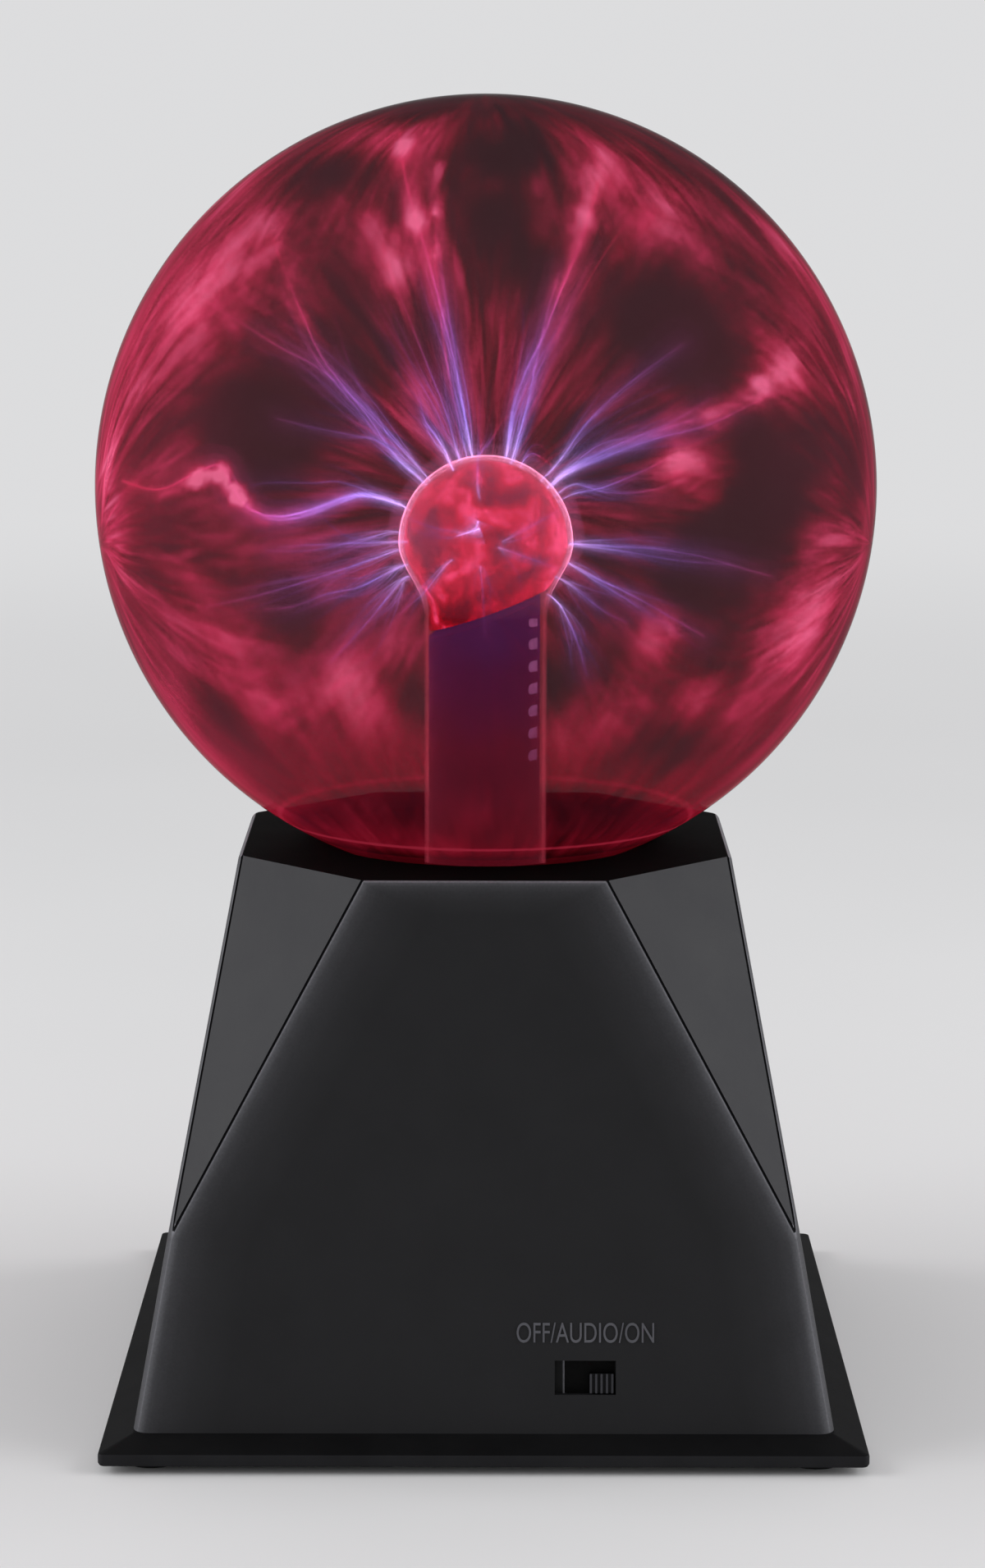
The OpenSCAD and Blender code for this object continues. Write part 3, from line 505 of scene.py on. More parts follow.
def mesh_from(bm, name):
    bmesh.ops.recalc_face_normals(bm, faces=bm.faces[:])
    mesh = bpy.data.meshes.new(name)
    bm.to_mesh(mesh)
    bm.free()
    return mesh


def close_rings(bm, rings):
    """Faces between rings of as many corners, and over the first and the last."""
    for low, high in zip(rings, rings[1:]):
        for k in range(len(low)):
            j = (k + 1) % len(low)
            bm.faces.new((low[k], low[j], high[j], high[k]))
    bm.faces.new(rings[0][::-1])
    bm.faces.new(rings[-1])


def lathe(name, profile, steps, faces_to=None):
    """Turns a profile of (radius, height) about Z. faces_to gives a material number for each stretch."""
    bm = bmesh.new()
    rings = []
    for radius, z in profile:
        if radius < TINY:
            rings.append([bm.verts.new((0, 0, z))])
            continue
        turns = [2 * math.pi * k / steps for k in range(steps)]
        rings.append([bm.verts.new((radius * math.cos(a), radius * math.sin(a), z)) for a in turns])
    for i, (low, high) in enumerate(zip(rings, rings[1:])):
        if len(low) == len(high) == 1:
            continue
        for k in range(steps):
            j = (k + 1) % steps
            corners = [low[k % len(low)], low[j % len(low)], high[j % len(high)], high[k % len(high)]]
            face = bm.faces.new(list(dict.fromkeys(corners)))
            face.material_index = faces_to(i) if faces_to else 0
    bmesh.ops.remove_doubles(bm, verts=bm.verts[:], dist=0.0001 * MM)
    return mesh_from(bm, name)


def arc(radius, z, first, last, steps):
    """Points on a circle in the profile's plane, between two angles in degrees above the equator."""
    angles = [math.radians(first + (last - first) * i / steps) for i in range(steps + 1)]
    return [(max(0, radius * math.cos(a)) if abs(math.cos(a)) > TINY else 0, z + radius * math.sin(a))
            for a in angles]


def welded_copy(node):
    """A copy of a CAD node's mesh with its split corners joined again."""
    bm = bmesh.new()
    bm.from_mesh(nodes[node].data)
    bmesh.ops.remove_doubles(bm, verts=bm.verts[:], dist=0.0005 * MM)
    mesh = mesh_from(bm, node + "_copy")
    if "custom_normal" in mesh.attributes:
        mesh.attributes.remove(mesh.attributes["custom_normal"])
    mesh.materials.clear()
    return mesh


def combined(mesh, other, operation, crossing=False):
    """The mesh after an exact boolean with another, whose own parts may cross each other."""
    made = new_object("combining", mesh)
    tool = new_object("tool", other)
    step = made.modifiers.new("combine", "BOOLEAN")
    step.operation = operation
    step.solver = "EXACT"
    step.use_self = crossing
    step.object = tool
    result = evaluated_mesh(made)
    bpy.data.objects.remove(tool)
    return result


def cleaned(mesh):
    """Joins flat faces again after a boolean."""
    bm = bmesh.new()
    bm.from_mesh(mesh)
    bmesh.ops.remove_doubles(bm, verts=bm.verts[:], dist=0.001 * MM)
    bmesh.ops.dissolve_limit(bm, angle_limit=math.radians(0.4), verts=bm.verts[:], edges=bm.edges[:])
    return mesh_from(bm, mesh.name)


def add_moulding(name, body, zone, slot, node, *materials):
    """A moulded form in place of a CAD node. zone gives the material number of a face."""
    body.name = name
    body.materials.clear()
    piece = add_piece(name, body, slot, *materials, replaced=(node,), angle=28)
    for polygon in body.polygons:
        polygon.material_index = zone(polygon)
    piece.modifiers.new("even_normals", "WEIGHTED_NORMAL").keep_sharp = True


# Cover: the CAD solid inside a hull with rounded edges, with a groove beside each corner facet

EDGE_ROUNDING = 3 * MM
TOP_ROUNDING_SHARE = 0.3
ROUNDING_STEPS = 6
HULL_INSET = 0.02 * MM
HULL_LOW_Z = 4 * MM
GROOVE_R = 0.32 * MM
GROOVE_IN = 0.34 * MM
GROOVE_SIDES = 16


def knee(sx, sy):
    half = face_half(KNEE_Z)
    return Vector((sx * half, sy * half, KNEE_Z))


def facet_tops(sx, sy):
    return (Vector((sx * TOP_EDGE_HALF, sy * TOP_HALF, TOP_Z)),
            Vector((sx * TOP_HALF, sy * TOP_EDGE_HALF, TOP_Z)))


def facet_normal(sx, sy):
    one, two = facet_tops(sx, sy)
    normal = (one - knee(sx, sy)).cross(two - knee(sx, sy)).normalized()
    return normal if normal.dot(Vector((sx, sy, 0))) > 0 else -normal


def cover_hull():
    """The cover's outer form with rounded edges, carried on below its foot."""
    bm = bmesh.new()
    half = face_half(HULL_LOW_Z)
    points = [Vector((sx * half, sy * half, HULL_LOW_Z)) for sx, sy in CORNERS]
    points += [knee(sx, sy) for sx, sy in CORNERS]
    points += [top for sx, sy in CORNERS for top in facet_tops(sx, sy)]
    for point in points:
        inwards = Vector((point.x, point.y, 0)).normalized() * HULL_INSET
        bm.verts.new(point - inwards - UP_AXIS * HULL_INSET)
    bmesh.ops.convex_hull(bm, input=bm.verts[:])
    bmesh.ops.dissolve_limit(bm, angle_limit=math.radians(1), verts=bm.verts[:], edges=bm.edges[:])
    weights = bm.edges.layers.float.new("bevel_weight_edge")
    for edge in bm.edges:
        heights = [v.co.z for v in edge.verts]
        if min(heights) > TOP_Z - MM:
            edge[weights] = TOP_ROUNDING_SHARE
        elif max(heights) > KNEE_Z - MM:
            edge[weights] = 1.0
    made = new_object("hull", mesh_from(bm, "hull"))
    bevel = made.modifiers.new("round", "BEVEL")
    bevel.limit_method = "WEIGHT"
    bevel.width = EDGE_ROUNDING
    bevel.segments = ROUNDING_STEPS
    return evaluated_mesh(made)


def groove_lines():
    """Ends of the line in the bottom of each groove: two beside each facet."""
    for sx, sy in CORNERS:
        bottom, normal, tops = knee(sx, sy), facet_normal(sx, sy), facet_tops(sx, sy)
        for top, other in (tops, tops[::-1]):
            along = (top - bottom).normalized()
            across = (other - top) - along * (other - top).dot(along)
            shift = across.normalized() * GROOVE_IN - normal * FACET_STEP
            yield bottom + along * 2 * MM + shift, top + along * 4 * MM + shift


def facet_grooves():
    """Thin rods along both sides of each facet, to be cut out."""
    bm = bmesh.new()
    for first, last in groove_lines():
        turn = UP_AXIS.rotation_difference(last - first).to_matrix().to_4x4()
        there = Matrix.Translation((first + last) / 2) @ turn
        bmesh.ops.create_cone(bm, cap_ends=True, segments=GROOVE_SIDES, radius1=GROOVE_R, radius2=GROOVE_R,
                              depth=(last - first).length, matrix=there)
    return mesh_from(bm, "grooves")


def cover_zone(polygon):
    """Material number of a face of the cover: 0 for panels, 1 for facets, 2 for the top, 3 for grooves."""
    centre = polygon.center
    if polygon.normal.z > 0.95 and centre.z > TOP_Z - 0.5 * MM:
        return 2
    for sx, sy in CORNERS:
        normal = facet_normal(sx, sy)
        depth = (centre - knee(sx, sy)).dot(normal)
        if polygon.normal.dot(normal) > 0.995 and abs(depth + FACET_STEP) < 0.05 * MM:
            return 1
    for first, last in groove_lines():
        along = (last - first).normalized()
        gap = centre - first - along * (centre - first).dot(along)
        if gap.length < 1.05 * GROOVE_R:
            return 3
    return 0


def build_cover():
    body = combined(welded_copy("base_cover"), facet_grooves(), "DIFFERENCE", crossing=True)
    body = cleaned(combined(body, cover_hull(), "INTERSECT"))
    add_moulding(
        "cover_shell", body, cover_zone, "cover_plastic", "base_cover", panel_plastic(),
        moulded("cover_facet", "17171c", "1e1e23", 0.42, 0.17, relief=0.008 * MM),
        # Painted shade: the top and the grooves get darker copies of the cover's plastic.
        moulded("cover_top", "090a0a", "0d0e0e", 0.7, 0.01),
        moulded("cover_groove", "0e0e10", "121214", 0.8, 0.05),
    )


# Plate: the CAD solid inside a stack of rounded squares

RIM_H = 2.5 * MM


def rounded_square(half, radius, z):
    points = []
    for turn in range(4):
        corner = math.pi / 2 * turn + math.pi / 4
        centre = Vector((math.cos(corner), math.sin(corner), 0)) * (half - radius) * math.sqrt(2)
        for i in range(ROUNDING_STEPS + 1):
            a = math.pi / 2 * (turn + i / ROUNDING_STEPS)
            points.append(centre + Vector((math.cos(a), math.sin(a), 0)) * radius + UP_AXIS * z)
    return points


def build_plate():
    half = plate_high.x - HULL_INSET
    low, rim = plate_low.z + HULL_INSET, plate_low.z + RIM_H
    flange = COVER_Z - HULL_INSET
    inner = FOOT_HALF - 0.1 * MM
    # Half width, corner radius in millimetres and height of each square
    stack = (
        (half - 0.8 * MM, 1.2, low), (half - 0.25 * MM, 1.2, low + 0.2 * MM), (half, 1.2, low + 0.7 * MM),
        (half, 1.2, rim - 0.35 * MM), (half - 0.12 * MM, 1.1, rim - 0.05 * MM),
        (half - 0.45 * MM, 0.9, rim + 0.1 * MM), (inner, 0.4, flange), (inner, 0.4, plate_high.z + MM),
    )
    bm = bmesh.new()
    close_rings(bm, [[bm.verts.new(p) for p in rounded_square(h, r * MM, z)] for h, r, z in stack])
    body = cleaned(combined(welded_copy("base_plate"), mesh_from(bm, "stack"), "INTERSECT"))

    def plate_zone(polygon):
        """Material number of a face of the plate: 1 for the upright rim, 0 for the rest."""
        return int(abs(polygon.normal.z) < 0.5 and abs(polygon.center.z - (low + rim) / 2) < (rim - low) / 2)

    add_moulding("plate_tray", body, plate_zone, "plate_plastic", "base_plate",
                 moulded("plate_plastic", "0c0c0d", "121213", 0.68, 0.05),
                 # Painted light: the upright rim gets a lighter copy of the plate's plastic, standing in for
                 # light from the front.
                 moulded("rim_plastic", "1a1a1c", "222224", 0.6, 0.1))


# Legend over the switch, raised from the front face

LEGEND = "OFF/AUDIO/ON"
LEGEND_SIZE = (25.6 * MM, 3.75 * MM)
LEGEND_X = 18.9 * MM
LEGEND_Z = 24.7 * MM
LEGEND_PROUD = 0.16 * MM
LEGEND_SUNK = 0.3 * MM


def build_legend():
    words = bpy.data.curves.new("legend", "FONT")
    words.body = LEGEND
    words.extrude = 0.5
    words.align_x = "CENTER"
    words.align_y = "CENTER"
    drawn = new_object("legend", words)
    bpy.context.view_layer.update()
    mesh = evaluated_mesh(drawn)
    low = [min(v.co[i] for v in mesh.vertices) for i in range(3)]
    size = [max(v.co[i] for v in mesh.vertices) - low[i] for i in range(3)]
    thick = LEGEND_PROUD + LEGEND_SUNK
    goal = (LEGEND_SIZE[0], LEGEND_SIZE[1], thick)
    centred = Matrix.Translation([-low[i] - size[i] / 2 for i in range(3)])
    sized = Matrix.Diagonal([goal[i] / size[i] for i in range(3)] + [1])
    lift = Matrix.Translation((0, 0, LEGEND_PROUD - thick / 2))
    stand = Matrix.Rotation(math.pi / 2 - FACE_LEAN, 4, "X")
    there = Matrix.Translation((LEGEND_X, -face_half(LEGEND_Z), LEGEND_Z))
    mesh.transform(there @ stand @ lift @ sized @ centred)
    # Painted highlight: the raised letters are lighter than the face, standing in for light caught on their
    # edges.
    letter_highlight = moulded("legend_plastic", "4a4a4f", "5a5a60", 0.5, 0.25)
    add_piece("switch_legend", mesh, "cover_plastic", letter_highlight, angle=0)


# Glass

GLOBE_TURNS = 256
ARC_STEPS = 110
ELECTRODE_TURNS = 96
SHOULDER_STEPS = 16
BULB_STEPS = 24

# The glow lies in the glass, close under its outer surface, because real glass bends the light that far out
GLOW_SKIN = 0.08 * MM
GLOW_R = GLOBE_R - GLOW_SKIN

# Degrees above the neck at which it starts
GLOW_START = 4

# Cover of the glow's inner surface, which keeps it clear
BARE = -9


def neck_angle(radius, neck):
    """Angle below the equator at which a sphere meets its neck, in degrees."""
    return -math.degrees(math.acos(neck / radius))


def build_globe(patches):
    inner_r, inner_neck = GLOBE_R - GLOBE_WALL, NECK_R - GLOBE_WALL
    outside = [(inner_neck, NECK_END_Z), (NECK_R, NECK_END_Z)]
    outside += arc(GLOBE_R, GLOBE_Z, neck_angle(GLOBE_R, NECK_R), 90, ARC_STEPS)
    inside = arc(inner_r, GLOBE_Z, 90, neck_angle(inner_r, inner_neck), ARC_STEPS)
    mesh = lathe("globe_shell", inside + outside, GLOBE_TURNS, lambda i: 1 if i < ARC_STEPS else 0)
    add_piece("globe_shell", mesh, "globe_glass", globe_glass(), inner_glass(), replaced=("glass_globe",))
    low = neck_angle(inner_r, inner_neck) + GLOW_START
    shell = arc(GLOW_R, GLOBE_Z, low, 90, ARC_STEPS) + arc(inner_r + GLOW_SKIN, GLOBE_Z, 90, low, ARC_STEPS)
    glow = lathe("globe_glow", shell + shell[:1], GLOBE_TURNS)
    cover = glow.attributes.new("cloud_cover", "FLOAT", "POINT")
    cover.data.foreach_set("value", [
        cloud_cover(v.co, patches) if (v.co - GLOBE_CENTRE).length > GLOW_R - GLOW_SKIN else BARE
        for v in glow.vertices
    ])
    add_piece("globe_glow", glow, "globe_glass", wall_glow())


def stem_side(inset):
    """The electrode's outside from the foot of its shoulder to its top, drawn in by an inset."""
    shoulder = []
    for i in range(SHOULDER_STEPS):
        share = i / SHOULDER_STEPS
        part = (1 - math.cos(math.pi * share)) / 2
        shoulder.append((TUBE_R - inset + (BULB_R - TUBE_R) * part, BULB_Z - SHOULDER_H + SHOULDER_H * share))
    return shoulder + arc(BULB_R - inset, BULB_Z, 0, 90, BULB_STEPS)


LINER_SLOPE = math.radians(20)
LIGHT_GAP = 0.1 * MM
LIGHT_ABOVE_LINER = 1.5 * MM
CORE_ABOVE_LINER = -4.4 * MM
CORE_R = 10.2 * MM
CORE_LOW_Z = TOP_Z - 6 * MM
SEAL_GAP = 0.02 * MM


def add_inner_light(name, profile, above, material):
    """A turned body of light, cut off parallel to the liner's slanted edge, above it or else below it."""
    bm = bmesh.new()
    bm.from_mesh(lathe(name, profile, ELECTRODE_TURNS))
    at = Vector((0, 0, liner_high.z - liner_high.x * math.tan(LINER_SLOPE) + above))
    up = Vector((-math.sin(LINER_SLOPE), 0, math.cos(LINER_SLOPE)))
    bmesh.ops.bisect_plane(bm, geom=bm.verts[:] + bm.edges[:] + bm.faces[:], dist=0.001 * MM, plane_co=at,
                           plane_no=up, clear_inner=above > 0, clear_outer=above < 0)
    bmesh.ops.holes_fill(bm, edges=[e for e in bm.edges if e.is_boundary], sides=0)
    add_piece(name, mesh_from(bm, name), "electrode_glass", material, angle=40)


def add_gas(name, near, far, material):
    """A layer of gas around the bulb, which runs out towards the foot of the shoulder."""
    inner = stem_side(-near)
    outer = []
    for (near_r, near_z), (far_r, far_z) in zip(inner, stem_side(-far)):
        share = min(1, max(0.02, (near_z - BULB_Z + SHOULDER_H) / SHOULDER_H))
        outer.append((near_r + (far_r - near_r) * share, near_z + (far_z - near_z) * share))
    mesh = lathe(name, inner[::-1] + outer + inner[-1:], ELECTRODE_TURNS)
    add_piece(name, mesh, "electrode_glass", material)


def build_electrode():
    rim_r, rim_z = NECK_R - SEAL_GAP, NECK_END_Z - SEAL_GAP
    foot_z = NECK_END_Z - FLARE_T
    foot = [(TUBE_R - TUBE_WALL, foot_z), (rim_r, foot_z), (rim_r, rim_z), (TUBE_R, rim_z)]
    profile = foot + stem_side(0) + stem_side(TUBE_WALL)[::-1] + foot[:1]
    mesh = lathe("electrode_glass", profile, ELECTRODE_TURNS)
    add_piece("electrode_glass", mesh, "electrode_glass", stem_glass(), replaced=("electrode_stem",),
              angle=50)
    within = stem_side(TUBE_WALL + LIGHT_GAP)
    within = [(0, liner_low.z), (within[0][0], liner_low.z)] + within
    add_inner_light("bulb_light", within, LIGHT_ABOVE_LINER, bulb_glow())
    core = [(0, CORE_LOW_Z), (CORE_R, CORE_LOW_Z), (CORE_R, stem_high.z), (0, stem_high.z)]
    add_inner_light("core_light", core, CORE_ABOVE_LINER, core_glow())
    # The sheath's bright outline is partly glowing gas and partly a painted highlight for the bulb glass's
    # reflection of the glow.
    add_gas("electrode_sheath", 0.05 * MM, 0.25 * MM, gas_glow("sheath_glow", "f890b8", 330))
    add_gas("electrode_halo", 0.3 * MM, 2.6 * MM, gas_glow("halo_glow", "dc78b4", 8))


# Plasma: streamers from the bulb to the glass, placed as the photograph shows them. Places are to the right
# of and above the globe's middle as the camera sees them, in millimetres

AWAY = Vector((0, math.cos(CAMERA_PITCH), -math.sin(CAMERA_PITCH)))
PICTURE_UP = Vector((0, math.sin(CAMERA_PITCH), math.cos(CAMERA_PITCH)))
RIGHT = Vector((1, 0, 0))
CAMERA_FAR = (GLOBE_CENTRE - CAMERA_AT).length
ROOT_GAP = 0.1 * MM
END_R = GLOBE_R - GLOBE_WALL - 0.8 * MM
GLOW_END_R = GLOBE_R - GLOBE_WALL - 0.1 * MM
BACK, FRONT = 1, -1

# Points, side of the globe, brightness, share of the way at which it turns pink, and count and spread of the
# threads that part from it
STREAMERS = (
    (((-18, 7), (-23, 14.5), (-28, 21), (-32, 26.5), (-35, 33), (-39, 43), (-43, 52)), BACK, 0.36, 0.6, 4, 6),
    (((-22, 13), (-28, 18.5), (-33.5, 22.5), (-40, 25.5), (-47, 29.5), (-55, 34)), FRONT, 0.32, 0.7, 3, 5),
    (((-20, 10), (-26, 12.5), (-34, 15), (-42, 18)), BACK, 0.22, 1.2, 2, 4),
    (((-27, 2.5), (-34, 3.5), (-42, 4.5), (-47, 4.5)), BACK, 0.16, 1.5, 1, 3),
    (((-3, 8), (-4.5, 16), (-6.5, 25.5), (-9, 35), (-11.5, 44.5), (-14, 52.5), (-16, 60), (-17, 68)),
     FRONT, 0.62, 0.6, 3, 3),
    (((-5.5, 7), (-8, 16), (-11.5, 25.5), (-15, 35), (-18.5, 44.5), (-21, 52.5)), BACK, 0.3, 0.6, 5, 7),
    (((-4.5, 10), (-8, 27), (-9.5, 41.5), (-10, 52.5), (-9, 62)), BACK, 0.2, 0.35, 3, 4),
    (((4, 7), (5, 15), (7.5, 23), (11, 30.5), (14, 38.5), (17, 46), (20, 55), (22.5, 64)),
     BACK, 0.62, 0.6, 3, 4),
    (((5.5, 6.5), (8, 15), (10, 23), (12, 30.5), (14.5, 37.5)), FRONT, 0.45, 0.9, 2, 4),
    (((6, 7), (10.5, 22.5), (17, 33.5), (24, 44.5), (30.5, 52)), FRONT, 0.22, 0.45, 3, 5),
    (((15.5, 3), (23.5, 7), (33, 11), (42.5, 14), (51, 18.5), (58.5, 22.5)), BACK, 0.36, 0.8, 4, 5),
    (((14.5, 5), (20, 11.5), (28, 17.5), (38.5, 23.5)), FRONT, 0.28, 1.2, 3, 4),
    (((15.5, 4), (22.5, 10.5), (31.5, 13.5), (41.5, 18)), BACK, 0.24, 1.1, 3, 4),
    (((16, 3), (25, 6.5), (36, 9.5), (44, 13)), FRONT, 0.24, 1.0, 3, 4),
    (((17, 1.5), (23.5, 1), (29.5, 2), (34.5, 4), (38.5, 6.5)), BACK, 0.28, 0.7, 2, 3),
    (((17, -1.5), (23.5, -1), (31.5, 1), (37.5, 2.5), (44, -1.5)), FRONT, 0.24, 0.6, 2, 3),
    (((-17.5, -3), (-21, -2), (-24.5, -1.5), (-28.5, -2.5), (-33.5, -4.5), (-39, -6), (-43, -6),
      (-46.5, -4.5), (-49, -1.5), (-51, 2.5), (-53, 3.5), (-57.5, 1.5), (-62, -1), (-66, -1.5), (-71, 0)),
     FRONT, 1.1, 0.6, 2, 1.2),
    (((-18.5, -8), (-26, -9), (-34, -9.5), (-44, -8.5)), BACK, 0.24, 1.3, 2, 4),
    (((-18, -11), (-26, -12.5), (-34, -14.5), (-40.5, -16.5)), FRONT, 0.26, 1.2, 3, 4),
    (((-18, -12), (-26, -14.5), (-36, -17), (-45.5, -19), (-56.5, -21)), BACK, 0.28, 0.9, 3, 4),
    (((-17.5, -16), (-24.5, -20.5), (-31, -23), (-37.5, -26.5), (-43, -28)), FRONT, 0.3, 1.0, 4, 4),
    (((-16.5, -17.5), (-22, -23), (-26, -26.5), (-31, -30.5)), BACK, 0.26, 1.2, 4, 5),
    (((17.5, -11), (25, -12), (33, -13), (42.5, -15.5), (50.5, -18.5), (56, -20.5)), FRONT, 0.27, 1.0, 3, 4),
    (((17.5, -10.5), (26.5, -11), (37.5, -11.5), (49, -11.5)), BACK, 0.2, 1.3, 2, 3),
    (((17, -14.5), (22.5, -17), (29.5, -19.5), (37.5, -23), (44, -26)), BACK, 0.32, 1.0, 3, 4),
    (((16, -19), (20, -23.5), (24, -28), (27.5, -31)), FRONT, 0.24, 1.2, 4, 4),
    (((14.5, -22), (17.5, -27), (20, -32.5)), BACK, 0.26, 1.3, 3, 3),
    (((-8, 6.5), (-10, 9), (-12, 11), (-13, 13)), FRONT, 0.5, 1.2, 3, 2),
    (((7.5, 6.5), (9.5, 8.5), (13.5, 9)), BACK, 0.26, 0.4, 2, 2),
    (((-1.5, 7), (1, 11), (3, 16), (4, 19)), BACK, 0.16, 0.3, 2, 3),
    (((-5, -10), (-11, -10.2), (-20, -9.5)), FRONT, 0.12, 1.1, 2, 3),
    (((-7.5, -16), (-12.5, -22.5), (-17, -30)), FRONT, 0.15, 1.1, 2, 4),
    (((3, -13), (9, -16.5), (17, -22)), FRONT, 0.15, 1.1, 2, 4),
    (((4, -11.5), (11, -9), (19, -7)), FRONT, 0.1, 1.1, 2, 3),
    (((-1, -17), (-0.5, -23), (0, -34)), FRONT, 0.12, 1.1, 2, 4),
    (((-1.5, -1), (-1.5, 4), (-1, 12)), FRONT, 0.12, 1.1, 2, 3),
)

# Sparks on the bulb where light leaves towards the front: ends and brightness
SPARKS = (((-6, -10.6), (-1.2, -9.1), 1.9), ((-2.6, -10.6), (-1.4, -7.6), 1.1))

# Radius, opacity and loss along the way of the layers that make up a thread, from its core outwards
LAYERS = ((0.09, 0.34, 0.8), (0.2, 0.16, 0.75), (0.45, 0.05, 0.5), (1.0, 0.022, 0.1), (1.8, 0.012, -0.5),
          (3.2, 0.005, -1.0))
STREAMER_LEFT = 0.45
THREAD_LIGHT = 3.2
THREAD_BREAKS = 0.3
THREAD_SHARE = 0.3
THREAD_COUNT = 2.4
THREAD_SPREAD = 0.95
TUBE_SIDES = 8
STEP = 1.6 * MM
SEED = 7


def unit(value):
    """The value, held between 0 and 1."""
    return min(1, max(0, value))


def shares_of(part, whole):
    """How far along a path each point of its first part lies, from 0 to 1."""
    return [i / (len(whole) - 1) for i in range(len(part))]


def seen_at(right, up, away):
    """The place that the camera sees to the right of and above the globe's middle, at a depth behind it."""
    nearer = 1 + away / CAMERA_FAR
    return GLOBE_CENTRE + (RIGHT * right + PICTURE_UP * up) * nearer + AWAY * away


def kept_inside(point, radius=END_R):
    """The point, drawn in to the glass if it lies beyond it."""
    out = point - GLOBE_CENTRE
    return GLOBE_CENTRE + out * min(1, radius / out.length)


def smooth_path(points):
    """A smooth curve through points, with even steps."""
    ends = [points[0] * 2 - points[1]] + list(points) + [points[-1] * 2 - points[-2]]
    path = []
    for a, b, c, d in zip(ends, ends[1:], ends[2:], ends[3:]):
        count = max(2, round((c - b).length / STEP))
        for i in range(count):
            t = i / count
            path.append(0.5 * (2 * b + (c - a) * t + (2 * a - 5 * b + 4 * c - d) * t * t
                               + (3 * b - a - 3 * c + d) * t ** 3))
    return path + [points[-1]]


def streamer_path(seen, side):
    """A streamer's curve from the bulb's glass to the globe's."""
    last = [c * MM for c in seen[-1]]
    depth = side * math.sqrt(max(0, END_R ** 2 - last[0] ** 2 - last[1] ** 2))
    start = BULB_Z - GLOBE_Z
    reach = [math.hypot(right * MM, up * MM - start) - BULB_R for right, up in seen]
    shares = [max(0.05, r / max(reach[-1], BULB_R)) if r > 0 else (k + 1) / (len(seen) + 1)
              for k, r in enumerate(reach)]
    shares = [max(s, (k + 1) / (2 * len(seen))) for k, s in enumerate(shares)]
    points = [kept_inside(seen_at(right * MM, up * MM, depth * min(1, share)))
              for (right, up), share in zip(seen, shares)]
    points[-1] = kept_inside(seen_at(last[0], last[1], depth))
    root = BULB_CENTRE + (points[0] - BULB_CENTRE).normalized() * (BULB_R + ROOT_GAP)
    return smooth_path([root] + points)


def parting_threads(path, count, spread, chance):
    """Fine threads that start with a streamer, part from it and end on their way to the glass."""
    for _ in range(round(count * THREAD_COUNT)):
        swing = Vector([chance.gauss(0, 1) for _ in range(3)]) * spread * MM * THREAD_SPREAD
        wobble = Vector([chance.gauss(0, 0.6) for _ in range(3)]) * MM
        turns = chance.uniform(4, 9)
        kept = path[:max(4, round(len(path) * chance.uniform(0.5, 0.98)))]
        yield [kept_inside(point + swing * (t - 0.04) + wobble * math.sin(turns * t))
               for point, t in zip(kept, shares_of(kept, path))]


def on_bulb(right, up):
    """The place on the bulb's front that the camera sees."""
    middle = BULB_CENTRE - GLOBE_CENTRE
    aside = math.hypot(right * MM, up * MM - middle.dot(PICTURE_UP))
    nearer = math.sqrt((BULB_R + MM) ** 2 - aside ** 2)
    return seen_at(right * MM, up * MM, middle.dot(AWAY) - nearer)


def add_tube(bm, path, radii, tints, gains, layers):
    """A closed round tube along a path, with a tint and a gain for each ring."""
    tint_layer, gain_layer = layers
    side = None
    rings = []
    for i, point in enumerate(path):
        ahead = (path[min(i + 1, len(path) - 1)] - path[max(i - 1, 0)]).normalized()
        side = ahead.orthogonal() if side is None else side - ahead * side.dot(ahead)
        side.normalize()
        other = ahead.cross(side)
        ring = []
        for k in range(TUBE_SIDES):
            a = 2 * math.pi * k / TUBE_SIDES
            around = (side * math.cos(a) + other * math.sin(a)) * radii[i]
            vert = bm.verts.new(kept_inside(point + around, GLOW_END_R))
            vert[tint_layer] = tints[i]
            vert[gain_layer] = gains[i]
            ring.append(vert)
        rings.append(ring)
    close_rings(bm, rings)


def build_plasma():
    chance = random.Random(SEED)
    lines = []
    for seen, side, gain, turn, count, spread in STREAMERS:
        path = streamer_path(seen, side)
        strands = [(path, gain, STREAMER_LEFT)]
        strands += [(t, gain * THREAD_SHARE, 0) for t in parting_threads(path, count, spread, chance)]
        for strand, strength, left in strands:
            shares = shares_of(strand, strand)
            reach = len(strand) / len(path)
            tints = [min(1, 0.06 + 0.6 * s * reach / turn) for s in shares]
            gains = [strength * min(1, 0.3 + 9 * s) * max(left, 0.4 * (1 - s) ** 1.6 + 0.5 * (1 - s) ** 0.5)
                     for s in shares]
            lines.append((strand, tints, gains, [0.5 + 1.2 * s for s in shares]))
    for first, last, gain in SPARKS:
        spark = smooth_path([on_bulb(*first), on_bulb(*last)])
        shares = shares_of(spark, spark)
        lines.append((spark, [0.1] * len(spark), [gain * s for s in shares], [0.3 + 0.7 * s for s in shares]))
    for number, (radius, alpha, loss) in enumerate(LAYERS):
        bm = bmesh.new()
        layers = (bm.verts.layers.float.new("tint"), bm.verts.layers.float.new("gain"))
        for path, tints, gains, widths in lines:
            kept = [g * (1 - loss * i / len(path)) for i, g in enumerate(gains)]
            add_tube(bm, path, [radius * MM * w for w in widths], tints, kept, layers)
        name = f"plasma_layer_{number}"
        add_piece(name, mesh_from(bm, name), "globe_glass", plasma(name, alpha))


